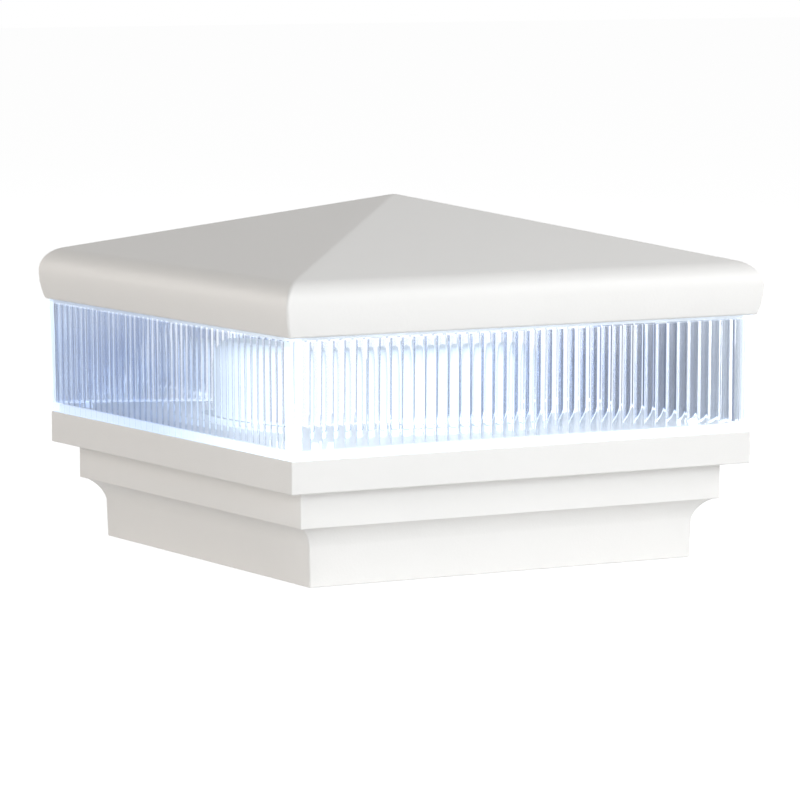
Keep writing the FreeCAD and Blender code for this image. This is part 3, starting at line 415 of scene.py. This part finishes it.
def clear_finish(name, shape, look):
    """Clear moulded plastic with painted cold shade and painted shade at the reed roots on two walls, and a
    painted glow at its edges.
    """
    finish = Finish(bpy.data.materials.new(name))
    across, along, height = finish.parts(finish.place())
    aside, ahead = across.absolute(), along.absolute()
    foot_top, head_bottom = FLANGE_TOP + FOOT_BORDER, LENS_TOP - HEAD_BORDER
    foot = finish.ramp(height, (foot_top + BORDER_PASSAGE) * MM, (foot_top - BORDER_PASSAGE) * MM)
    head = finish.ramp(height, (head_bottom - BORDER_PASSAGE) * MM, (head_bottom + BORDER_PASSAGE) * MM)
    corner = finish.ramp(aside.minimum(ahead), (LENS_BORE_HALF + CORNER_START) * MM,
                         (LENS_BORE_HALF + CORNER_FULL) * MM)
    # painted cold shade on the left and right walls, and the tint of a slanting view
    back = finish.ramp(along, SIDE_SHADE_START * MM, SIDE_SHADE_FULL * MM)
    slant = finish.ramp(finish.facing(), SLANT_START, SLANT_FULL) * (back * (1 - SLANT_FRONT) + SLANT_FRONT)
    side = finish.ramp(aside - ahead, -MITRE_PASSAGE * MM, MITRE_PASSAGE * MM)
    band = finish.ramp((height - BAND_LEVEL * MM).absolute(), BAND_REACH * MM, 0.0)
    low = finish.ramp(height, BAND_LEVEL * MM, FLANGE_TOP * MM)
    painted_side_shade = (side * back * (band * BAND_SHARE + low * LOW_SHARE + SIDE_SHADE_SHARE)).minimum(1.0)
    # the clear plastic's colour, with the painted shade of the left and right walls mixed in
    plastic = finish.between(painted_side_shade, rgba(look.lens_clear), rgba(look.lens_side_shade))
    plastic = finish.between(slant, plastic, rgba(look.lens_tint))
    # painted shade and painted reflection at the reeds' roots, from a number that is 0 where two reeds meet
    # and 0.5 half way along a reed
    reed = (along + LENS_BORE_HALF * MM) * (shape.reeds / (2 * LENS_BORE_HALF * MM))
    reed = reed.maths("PINGPONG", reed, 0.5)
    inner = finish.ramp(aside, (LENS_BORE_HALF + ROOT_END) * MM, (LENS_BORE_HALF + ROOT_INSIDE) * MM)
    root_shade = finish.ramp(reed, ROOT_EDGE, ROOT_FULL) * inner * side * (1 - foot) * (1 - head)
    # painted glow: the clear lens, which is no lamp, shines at its foot, head and corners and faintly all
    # over
    edges = foot.maximum(head * HEAD_GLOW).maximum(corner)
    gathered = finish.between(edges, rgba(look.glow_colour, PLAIN_GLOW), rgba(look.glow_colour))
    return finish.surface({
        # the painted shade at the roots darkens the colour, and their painted reflection is drawn as metal
        "Base Color": finish.between(root_shade, plastic, rgba(look.lens_root_shade)),
        "Metallic": root_shade * (ROOT_PAINTED_REFLECTION - back * ROOT_PAINTED_REFLECTION_LOSS),
        "Roughness": look.lens_roughness,
        "IOR": look.lens_ior,
        "Transmission Weight": 1.0,
        "Emission Color": gathered,
        "Emission Strength": look.edge_glow,
    })


def frosted_finish(name, look):
    """Frosted plastic lit from within, fading where it turns away."""
    finish = Finish(bpy.data.materials.new(name))
    frost = finish.noise(FROST_SCALE, detail=3.0)
    fade = finish.ramp(finish.facing(), *DOME_FADE)
    lit, faded = rgba(look.glow_colour), rgba(look.glow_colour, DOME_FADED_LEVEL)
    return finish.surface({
        "Base Color": rgba(look.glow_colour, DOME_LEVEL),
        "Roughness": frost * FROST_ROUGHNESS + DOME_ROUGHNESS,
        "Normal": finish.relief(frost, FROST_DEPTH),
        "Emission Color": finish.between(fade, lit, faded),
        "Emission Strength": look.glow_strength,
    })


# ---- the inner pieces' finishes, by material slot

# colour, roughness and, where the piece has its own, mottle and depth of the grain in metres
MOULDED = {
    "board_white": ((0.9, 0.9, 0.9), 0.3, 0.05),
    "board_green": ((0.03, 0.18, 0.07), 0.28, 0.2),
    "led_package": ((0.9, 0.9, 0.88), 0.35),
    "led_phosphor": ((0.95, 0.75, 0.25), 0.4, 0.1),
    "connector_cream": ((0.80, 0.76, 0.64), 0.45),
    "connector_green": ((0.07, 0.33, 0.14), 0.4, 0.1),
    "driver_black": ((0.03, 0.03, 0.032), 0.5, 0.3, 0.0001),
    "chip_black": ((0.04, 0.04, 0.04), 0.55, 0.3),
    "capacitor_sleeve": ((0.04, 0.06, 0.18), 0.25, 0.1),
    "terminal_body": ((0.86, 0.86, 0.84), 0.42, 0.06),
    "lead_red": ((0.62, 0.03, 0.02), 0.35, 0.1),
    "lead_black": ((0.025, 0.025, 0.027), 0.35, 0.2),
}
# colour, roughness and, where it isn't the usual one, the stretch of the streaks
METAL = {
    "screw_steel": ((0.62, 0.62, 0.64), 0.32),
    "sink_aluminium": ((0.77, 0.78, 0.79), 0.38, (12.0, 1.0, 1.0)),
    "terminal_brass": ((0.80, 0.62, 0.30), 0.3, (1.0, 12.0, 1.0)),
}
RUBBER = {
    "black_rubber": (0.03, 0.03, 0.03),
    "grey_seal": (0.60, 0.62, 0.65),
    "thermal_pad": (0.45, 0.55, 0.65),
    "ferrite_black": (0.06, 0.06, 0.06),
}
HOUSING_ROUGHNESS_INSIDE, REFLECTOR_ROUGHNESS, COATING_ROUGHNESS = 0.4, 0.35, 0.4


# ---- what a user would change

class PostCapShape(bpy.types.PropertyGroup):
    """How finely the shells are drawn and how soft their edges are."""
    roof_edge: FloatProperty(
        name="Roof edge radius", description="Rounding of the roof's mitres, hips and rim",
        default=0.0008, min=0.0001, max=0.002, unit="LENGTH")
    collar_edge: FloatProperty(
        name="Collar edge radius", description="Rounding of the collar's steps and mitres",
        default=0.0004, min=0.0001, max=0.0004, unit="LENGTH")
    lens_edge: FloatProperty(
        name="Lens corner radius", description="Rounding of the lens ring's upright corners",
        default=0.0008, min=0.0001, max=0.002, unit="LENGTH")
    reeds: IntProperty(
        name="Reeds a side", description="Upright reeds on the inside of each lens wall",
        default=40, min=4, max=60)
    reed_steps: IntProperty(
        name="Steps a reed", description="Flat strips that make up one reed's curve",
        default=12, min=4, max=24)
    curve_steps: IntProperty(
        name="Steps a curve", description="Rings that make up the nose or the cove",
        default=9, min=4, max=24)


class PostCapLook(bpy.types.PropertyGroup):
    """Colours and finishes of the pieces, and the level of the room's light."""
    housing_colour: FloatVectorProperty(
        name="Housing", description="White moulding of the roof and collar",
        default=(0.90, 0.885, 0.86), size=3, min=0, max=1, subtype="COLOR")
    housing_roughness: FloatProperty(
        name="Housing roughness", description="Satin gloss of the white moulding",
        default=0.38, min=0, max=1, subtype="FACTOR")
    deck_colour: FloatVectorProperty(
        name="Deck", description="White reflector under the lens",
        default=(0.90, 0.92, 0.95), size=3, min=0, max=1, subtype="COLOR")
    lens_clear: FloatVectorProperty(
        name="Lens", description="Clear plastic seen straight through",
        default=(0.96, 0.98, 1.0), size=3, min=0, max=1, subtype="COLOR")
    # painted shade: the darker, colder colour of the left and right walls stands in for shade
    lens_side_shade: FloatVectorProperty(
        name="Lens sides", description="Cold cast of the left and right walls of the lens",
        default=(0.21, 0.29, 0.48), size=3, min=0, max=1, subtype="COLOR")
    lens_tint: FloatVectorProperty(
        name="Lens tint", description="Cold tint of the clear plastic seen at a slant",
        default=(0.18, 0.25, 0.42), size=3, min=0, max=1, subtype="COLOR")
    # painted shade: the dark lines at the reeds' roots stand in for shade and reflection in the clear
    # plastic
    lens_root_shade: FloatVectorProperty(
        name="Reed roots", description="Dark lines at the roots of the reeds on the lens's sides",
        default=(0.10, 0.13, 0.22), size=3, min=0, max=1, subtype="COLOR")
    lens_roughness: FloatProperty(
        name="Lens roughness", description="Blur of the clear lens",
        default=0.02, min=0, max=1, subtype="FACTOR")
    lens_ior: FloatProperty(
        name="Lens index", description="Refractive index of the clear plastic",
        default=1.49, min=1, max=2)
    glow_colour: FloatVectorProperty(
        name="Glow", description="Cold white light of the lamp",
        default=(0.80, 0.90, 1.0), size=3, min=0, max=1, subtype="COLOR")
    glow_strength: FloatProperty(
        name="Glow strength", description="How brightly the frosted dome shines",
        default=1.15, min=0, max=50)
    # painted glow of the clear lens, which is no lamp
    edge_glow: FloatProperty(
        name="Edge glow", description="Light gathered in the foot, head and corners of the clear lens",
        default=0.45, min=0, max=10)
    # painted glow on the reflector and on the coated screws, which are no lamps
    deck_glow: FloatProperty(
        name="Deck glow", description="Light spread over the reflector under the lens",
        default=0.1, min=0, max=10)
    screw_glow: FloatProperty(
        name="Screw glow", description="Light spread over the coated screws in the reflector",
        default=1.0, min=0, max=10)
    backdrop_level: FloatProperty(
        name="Room light", description="Level of the plain light from all round",
        default=0.12, min=0, max=1, subtype="FACTOR")


def shape_of(context):
    return context.scene.post_cap_shape


def look_of(context):
    return context.scene.post_cap_look


# ---- pieces

class POSTCAP_OT_roof(bpy.types.Operator):
    """Models the hollow pyramid roof with its rounded eave and locating fingers"""
    bl_idname = "postcap.roof"
    bl_label = "Roof"

    def execute(self, context):
        shape = shape_of(context)
        slope = math.degrees(ROOF_SLOPE)
        eave_centre = (EAVE_HALF - EAVE_RADIUS, EAVE_LEVEL)
        start = -math.degrees(math.asin((EAVE_LEVEL - LENS_TOP) / EAVE_RADIUS))
        eave = arc(eave_centre, EAVE_RADIUS, start, 0, EAVE_STEPS)
        nose_centre = (EAVE_HALF - NOSE_RADIUS, EAVE_LEVEL)
        nose = arc(nose_centre, NOSE_RADIUS, 0, 90 - slope, shape.curve_steps)
        inner_peak = ROOF_PEAK - ROOF_WALL / math.cos(ROOF_SLOPE)
        shoulder = inner_peak - RIM_BORE_HALF * math.tan(ROOF_SLOPE)
        inside = [(RIM_BORE_HALF, shoulder), (RIM_BORE_HALF, LENS_TOP)]
        add_square_ring("roof_shell", RIM_BORE_HALF, shoulder)
        draw_rings(inside + eave + nose[1:] + [(0, ROOF_PEAK)])
        pick_points(lambda p: abs(p.z - shoulder * MM) < NEAR and abs(p.x) < RIM_BORE_HALF * MM + NEAR)
        draw_rings([(RIM_BORE_HALF, shoulder), (0, inner_peak)])
        weld()
        end_edit()
        roof = context.object
        soften(roof, shape.roof_edge, ROOF_STRIPS)
        # a finger: an upright block whose upper part is drawn out to the rim's bore
        finger = add_block("finger", (FINGER_IN, -FINGER_WIDTH / 2, LENS_TOP - FINGER_DEPTH),
                           (FINGER_OUT, FINGER_WIDTH / 2, LENS_TOP + FINGER_HEIGHT))
        bpy.ops.mesh.bisect(plane_co=(0, 0, LENS_TOP * MM), plane_no=(0, 0, 1))
        bpy.ops.mesh.select_mode(type="FACE")
        pick_points(lambda p: p.x > FINGER_OUT * MM - NEAR and p.z > LENS_TOP * MM - NEAR)
        reach = (RIM_BORE_HALF + JOINT_OVERLAP - FINGER_OUT) * MM
        bpy.ops.mesh.extrude_region_move(TRANSFORM_OT_translate={"value": (reach, 0, 0)})
        bpy.ops.mesh.select_all(action="SELECT")
        bpy.ops.mesh.bevel(offset=BLOCK_EDGE * MM, segments=BLOCK_STRIPS, affect="EDGES")
        weld()
        end_edit()
        join_to(roof, take_round(finger, [(0, step * FINGER_SPACING, 0) for step in (-1, 0, 1)]))
        look = look_of(context)
        finish = moulded_finish("white_housing_roof", look.housing_colour, look.housing_roughness)
        finish_piece(roof, "roof_cap", "roof", finish)
        return {"FINISHED"}


class POSTCAP_OT_collar(bpy.types.Operator):
    """Models the stepped collar with its cove, ledge and post socket"""
    bl_idname = "postcap.collar"
    bl_label = "Collar"

    def execute(self, context):
        shape = shape_of(context)
        rings = [(SKIRT_HALF, 0.0), *cove(COVE_FOOT, COVE_HEAD, COVE_RADIUS, shape.curve_steps),
                 (TIER_HALF, TIER_BOTTOM), (TIER_HALF, FLANGE_BOTTOM),
                 (FLANGE_HALF, FLANGE_BOTTOM), (FLANGE_HALF, FLANGE_TOP),
                 *groove(LENS_BORE_HALF, LENS_FOOT_HALF, FLANGE_TOP),
                 (MOUTH_HALF, FLANGE_TOP), (MOUTH_HALF, MOUTH_BOTTOM), (BAY_HALF, MOUTH_BOTTOM),
                 (BAY_HALF, LEDGE_TOP), (LEDGE_HALF, LEDGE_TOP), (LEDGE_HALF, SOCKET_DEPTH),
                 (SOCKET_HALF, SOCKET_DEPTH), (SOCKET_HALF, 0.0), (SKIRT_HALF, 0.0)]
        add_square_ring("collar_shell", *rings[0])
        draw_rings(rings)
        weld()
        end_edit()
        collar = context.object
        soften(collar, shape.collar_edge, COLLAR_STRIPS)
        # a crush rib: a thin upright block with rounded edges, which stops short of the rim
        rib = add_block("crush_rib", (SOCKET_HALF - RIB_DEPTH, -RIB_WIDTH / 2, RIB_LEAD),
                        (SOCKET_HALF + JOINT_OVERLAP, RIB_WIDTH / 2, SOCKET_DEPTH + JOINT_OVERLAP))
        bpy.ops.mesh.bevel(offset=BLOCK_EDGE * MM, segments=BLOCK_STRIPS, affect="EDGES")
        weld()
        end_edit()
        join_to(collar, take_round(rib, [(0, step * RIB_OFFSET, 0) for step in (-1, 1)]))
        look = look_of(context)
        finish = moulded_finish("white_housing_collar", look.housing_colour, look.housing_roughness)
        finish_piece(collar, "base_collar", "base", finish)
        return {"FINISHED"}


def add_reeded_wall(shape):
    """The inside of the lens's front wall: a row of flat strips and arcs, cut off at both mitres."""
    low, high = FLANGE_TOP + FOOT_BORDER, LENS_TOP - HEAD_BORDER
    pitch = 2 * LENS_BORE_HALF / shape.reeds
    chord = pitch - REED_GAP
    radius = (chord ** 2 / 4 + REED_DEPTH ** 2) / (2 * REED_DEPTH)
    sweep = 2 * math.asin(chord / 2 / radius)
    left = -LENS_BORE_HALF + REED_GAP
    # One flat strip, whose right edge is spun round the reed's axis. The spin turns outward, so the arc
    # lies in the wall's thickness and ends there: its far edge stays open and meets no other strip.
    bpy.ops.object.select_all(action="DESELECT")
    bpy.ops.mesh.primitive_plane_add(
        size=1, location=((left - REED_GAP / 2) * MM, -LENS_BORE_HALF * MM, (low + high) / 2 * MM),
        rotation=(math.radians(90), 0, 0))
    wall = bpy.context.object
    wall.name = "lens_shell"
    wall.scale = (REED_GAP * MM, (high - low) * MM, 1)
    bpy.ops.object.transform_apply(location=True, rotation=True, scale=True)
    start_edit("EDGE")
    pick_edges(lambda a, b: min(a.x, b.x) > left * MM - NEAR)
    axis = ((left + chord / 2) * MM, (REED_DEPTH - LENS_BORE_HALF - radius) * MM, 0)
    bpy.ops.mesh.spin(steps=shape.reed_steps, angle=sweep, center=axis, axis=(0, 0, -1))
    weld(REED_WELD)
    # the part of each end of the arc that lies within the reed's width is closed, and the flat strip
    # alone is drawn on through the border above and below
    first, last = left * MM - NEAR, (left + chord) * MM + NEAR
    for level, outer in ((low, FLANGE_TOP), (high, LENS_TOP)):
        def at_level(point):
            return abs(point.z - level * MM) < NEAR

        pick_edges(lambda a, b: all(at_level(p) and first < p.x < last for p in (a, b)))
        bpy.ops.mesh.edge_face_add()
        pick_edges(lambda a, b: all(at_level(p) and abs(p.y + LENS_BORE_HALF * MM) < NEAR for p in (a, b)))
        bpy.ops.mesh.extrude_edges_move(TRANSFORM_OT_translate={"value": (0, 0, (outer - level) * MM)})
    end_edit()
    row = wall.modifiers.new("row", "ARRAY")
    row.count = shape.reeds
    row.use_relative_offset = False
    row.use_constant_offset = True
    row.constant_offset_displace = (pitch * MM, 0, 0)
    row.use_merge_vertices = True
    row.merge_threshold = WALL_WELD * MM
    bpy.ops.object.modifier_apply(modifier=row.name)
    # the row is cut off along both mitres
    start_edit()
    for slant in (1, -1):
        bpy.ops.mesh.select_all(action="SELECT")
        bpy.ops.mesh.bisect(plane_co=(0, 0, 0), plane_no=(slant, 1, 0), clear_outer=True)
    end_edit()
    return wall


def add_outer_walls(shape):
    """The outside of the lens ring with rounded corners, and its top as far as the gasket's groove."""
    rings = [(LENS_FOOT_HALF, FLANGE_TOP), (LENS_HEAD_HALF, LENS_TOP),
             *groove(RIM_BORE_HALF, LENS_HEAD_HALF, LENS_TOP)]
    add_square_ring("lens_outside", *rings[0])
    draw_rings(rings)
    # the upright edges are the only ones that reach over more than half the height
    pick_edges(lambda a, b: abs(a.z - b.z) > (LENS_TOP - FLANGE_TOP) / 2 * MM)
    bpy.ops.mesh.bevel(offset=shape.lens_edge, segments=LENS_STRIPS, affect="EDGES")
    end_edit()
    return bpy.context.object


def bridge_at(level):
    """Bridges the open edges that the mesh in edit mode has at one height.

    The outer walls' edges are one loop there, but the inner walls' are single edges that don't meet, so
    the new faces cover the whole square and not only the walls' thickness.
    """
    bpy.ops.mesh.select_all(action="DESELECT")
    bpy.ops.mesh.select_non_manifold(extend=False, use_wire=False, use_boundary=True,
                                     use_multi_face=False, use_non_contiguous=False, use_verts=False)
    mesh = bmesh.from_edit_mesh(bpy.context.object.data)
    for edge in mesh.edges:
        if edge.select and any(abs(p.co.z - level * MM) > NEAR for p in edge.verts):
            edge.select_set(False)
    bmesh.update_edit_mesh(bpy.context.object.data)
    bpy.ops.mesh.bridge_edge_loops()


class POSTCAP_OT_lens(bpy.types.Operator):
    """Models the clear lens ring with the reeds of its four walls"""
    bl_idname = "postcap.lens"
    bl_label = "Lens"

    def execute(self, context):
        shape = shape_of(context)
        inside = take_round(add_reeded_wall(shape), [(0, 0, 0)])
        lens = add_outer_walls(shape)
        join_to(lens, inside)
        start_edit("EDGE")
        bpy.ops.mesh.select_all(action="SELECT")
        bpy.ops.mesh.remove_doubles(threshold=WALL_WELD * MM)
        for level in (FLANGE_TOP, LENS_TOP):
            bridge_at(level)
        bpy.ops.mesh.select_all(action="SELECT")
        bpy.ops.mesh.normals_make_consistent(inside=False)
        end_edit()
        lens.name = "lens_shell"
        bpy.ops.object.shade_smooth_by_angle(angle=LENS_CREASE)
        finish = clear_finish("clear_lens", shape, look_of(context))
        finish_piece(lens, "lens_ring", "lens", finish)
        return {"FINISHED"}


class POSTCAP_OT_inside(bpy.types.Operator):
    """Finishes the CAD nodes that are shown as they are"""
    bl_idname = "postcap.inside"
    bl_label = "Inner pieces"

    def execute(self, context):
        look = look_of(context)
        finishes = {
            "white_housing": moulded_finish("white_housing_inside", look.housing_colour,
                                            HOUSING_ROUGHNESS_INSIDE),
            "frosted_dome": frosted_finish("frosted_dome", look),
            **{slot: moulded_finish(slot, *values) for slot, values in MOULDED.items()},
            **{slot: metal_finish(slot, *values) for slot, values in METAL.items()},
            **{slot: rubber_finish(slot, colour) for slot, colour in RUBBER.items()},
        }
        # painted glow: the reflector and the coated screws, which are no lamps, shine in the lamp's colour
        # in place of the light that falls on them
        for slot, roughness, glow in (("white_reflector", REFLECTOR_ROUGHNESS, look.deck_glow),
                                      ("screw_white", COATING_ROUGHNESS, look.screw_glow)):
            light = {"Emission Color": rgba(look.glow_colour), "Emission Strength": glow}
            finishes[slot] = moulded_finish(slot, look.deck_colour, roughness, extra=light)
        slots = {row["node"]: row["material_slot"] for row in frame["record"]["subparts"]}
        for name, node in frame["nodes"].items():
            if slots[name] in finishes:
                node.data.materials.clear()
                node.data.materials.append(finishes[slots[name]])
        return {"FINISHED"}


# ---- stage

# name, way to it from the light, distance and size in metres, colour, and level, where 1 shows a
# white surface that faces the lamp as white
LAMPS = (
    ("key_lamp", (0.70, -0.60, 0.42), 1.3, 0.7, (1.0, 1.0, 1.0), 0.545),
    ("front_lamp", (-0.40, -0.90, 0.20), 1.4, 0.5, (0.92, 0.96, 1.0), 0.425),
    ("side_lamp", (-1.0, -0.10, 0.19), 1.3, 0.9, (1.0, 0.90, 0.79), 0.16),
    ("back_lamp", (-0.80, 0.90, 0.12), 1.4, 0.9, (1.0, 0.95, 0.90), 0.31),
    ("right_lamp", (1.0, 0.30, 0.25), 1.4, 0.5, (1.0, 1.0, 1.0), 0.25),
)
LAMP_AIM = 0.06  # the height in metres of the point that the lamps are aimed at

# the floor's width and level in metres, its grey as it lights the pieces, and its grey and glow as seen
FLOOR_WIDTH, FLOOR_LEVEL = 12.0, -0.0002
FLOOR_SHADE, FLOOR_FAINT, FLOOR_LIGHT = 0.85, 0.35, 0.94

# The photo's camera stands to the left of the front and a little above, with a very long lens: angles
# in degrees, distance and place in metres, focal length and sensor in millimetres.
CAMERA_AZIMUTH, CAMERA_ELEVATION = -29.94, 6.02
CAMERA_DISTANCE, CAMERA_SHIFT, CAMERA_HEIGHT = 1.468, 0.00196, 0.0466
CAMERA_LENS, CAMERA_SENSOR = 208.9, 36.0
CAMERA_NEAREST, CAMERA_FARTHEST = 0.1, 50.0


def soft_box(name, way, reach, size, colour, level):
    """A square soft lamp aimed at the light."""
    bpy.ops.object.select_all(action="DESELECT")
    place = Vector(way).normalized() * reach + Vector((0, 0, LAMP_AIM))
    bpy.ops.object.light_add(type="AREA", location=place)
    lamp = bpy.context.object
    lamp.name = name
    lamp.rotation_euler = Vector(way).to_track_quat("Z", "Y").to_euler()
    lamp.data.size = size
    lamp.data.color = colour
    lamp.data.energy = level * math.pi ** 2 * reach ** 2


def seen_or_mirrored(finish):
    """1 where a ray comes from the camera, a gloss or a clear piece, and 0 for the room's own light."""
    path = [finish.node("ShaderNodeLightPath", output=f"Is {kind} Ray")
            for kind in ("Camera", "Glossy", "Transmission")]
    rest = (1 - path[0]) * (1 - path[1]) * (1 - path[2])
    return 1 - rest


class POSTCAP_OT_stage(bpy.types.Operator):
    """Sets the pale floor, the soft lamps, the white room and the camera"""
    bl_idname = "postcap.stage"
    bl_label = "Stage"

    def execute(self, context):
        look = look_of(context)
        bpy.ops.object.select_all(action="DESELECT")
        bpy.ops.mesh.primitive_plane_add(size=FLOOR_WIDTH, location=(0, 0, FLOOR_LEVEL))
        floor = context.object
        floor.name = "pale_floor"
        pale = Finish(bpy.data.materials.new("pale_floor"))
        shade = pale.node("ShaderNodeBsdfDiffuse", sockets={"Color": grey(FLOOR_SHADE)})
        faint = pale.node("ShaderNodeBsdfDiffuse", sockets={"Color": grey(FLOOR_FAINT)})
        bright = pale.node("ShaderNodeEmission", sockets={"Color": grey(1.0), "Strength": FLOOR_LIGHT})
        seen = pale.node("ShaderNodeAddShader", sockets={0: faint, 1: bright})
        mixed = pale.node("ShaderNodeMixShader", sockets={0: seen_or_mirrored(pale), 1: shade, 2: seen})
        pale.node("ShaderNodeOutputMaterial", sockets={"Surface": mixed})
        floor.data.materials.append(pale.owner)

        for lamp in LAMPS:
            soft_box(*lamp)

        context.scene.world = bpy.data.worlds.new("white_room")
        room = Finish(context.scene.world)
        level = seen_or_mirrored(room) * (1 - look.backdrop_level) + look.backdrop_level
        light = room.node("ShaderNodeBackground", sockets={"Color": grey(1.0), "Strength": level})
        room.node("ShaderNodeOutputWorld", sockets={"Surface": light})

        azimuth, elevation = math.radians(CAMERA_AZIMUTH), math.radians(CAMERA_ELEVATION)
        back = Vector((math.sin(azimuth) * math.cos(elevation),
                       -math.cos(azimuth) * math.cos(elevation), math.sin(elevation)))
        right = Vector((math.cos(azimuth), math.sin(azimuth), 0))
        place = back * CAMERA_DISTANCE + right * CAMERA_SHIFT + Vector((0, 0, CAMERA_HEIGHT))
        bpy.ops.object.camera_add(location=place, rotation=back.to_track_quat("Z", "Y").to_euler())
        camera = context.object
        camera.data.lens = CAMERA_LENS
        camera.data.sensor_width = CAMERA_SENSOR
        camera.data.clip_start, camera.data.clip_end = CAMERA_NEAREST, CAMERA_FARTHEST
        context.scene.camera = camera
        context.scene.view_settings.view_transform = "Standard"
        return {"FINISHED"}


class POSTCAP_PT_panel(bpy.types.Panel):
    """Lists the settings and the steps in order"""
    bl_idname = "POSTCAP_PT_panel"
    bl_label = "Post cap light"
    bl_space_type = "VIEW_3D"
    bl_region_type = "UI"
    bl_category = "Post cap light"

    def draw(self, context):
        for group in (shape_of(context), look_of(context)):
            for name in group.bl_rna.properties.keys():
                if name not in ("rna_type", "name"):
                    self.layout.prop(group, name)
        for operator in OPERATORS:
            self.layout.operator(operator.bl_idname)


GROUPS = (PostCapShape, PostCapLook)
OPERATORS = (POSTCAP_OT_stage, POSTCAP_OT_roof, POSTCAP_OT_collar, POSTCAP_OT_lens, POSTCAP_OT_inside)
CLASSES = (*GROUPS, *OPERATORS, POSTCAP_PT_panel)


def register():
    for cls in CLASSES:
        bpy.utils.register_class(cls)
    bpy.types.Scene.post_cap_shape = PointerProperty(type=PostCapShape)
    bpy.types.Scene.post_cap_look = PointerProperty(type=PostCapLook)


def unregister():
    del bpy.types.Scene.post_cap_look
    del bpy.types.Scene.post_cap_shape
    for cls in reversed(CLASSES):
        bpy.utils.unregister_class(cls)


def main():
    register()
    for operator in OPERATORS:
        group, name = operator.bl_idname.split(".")
        getattr(getattr(bpy.ops, group), name)()


if __name__ == "__main__":
    main()
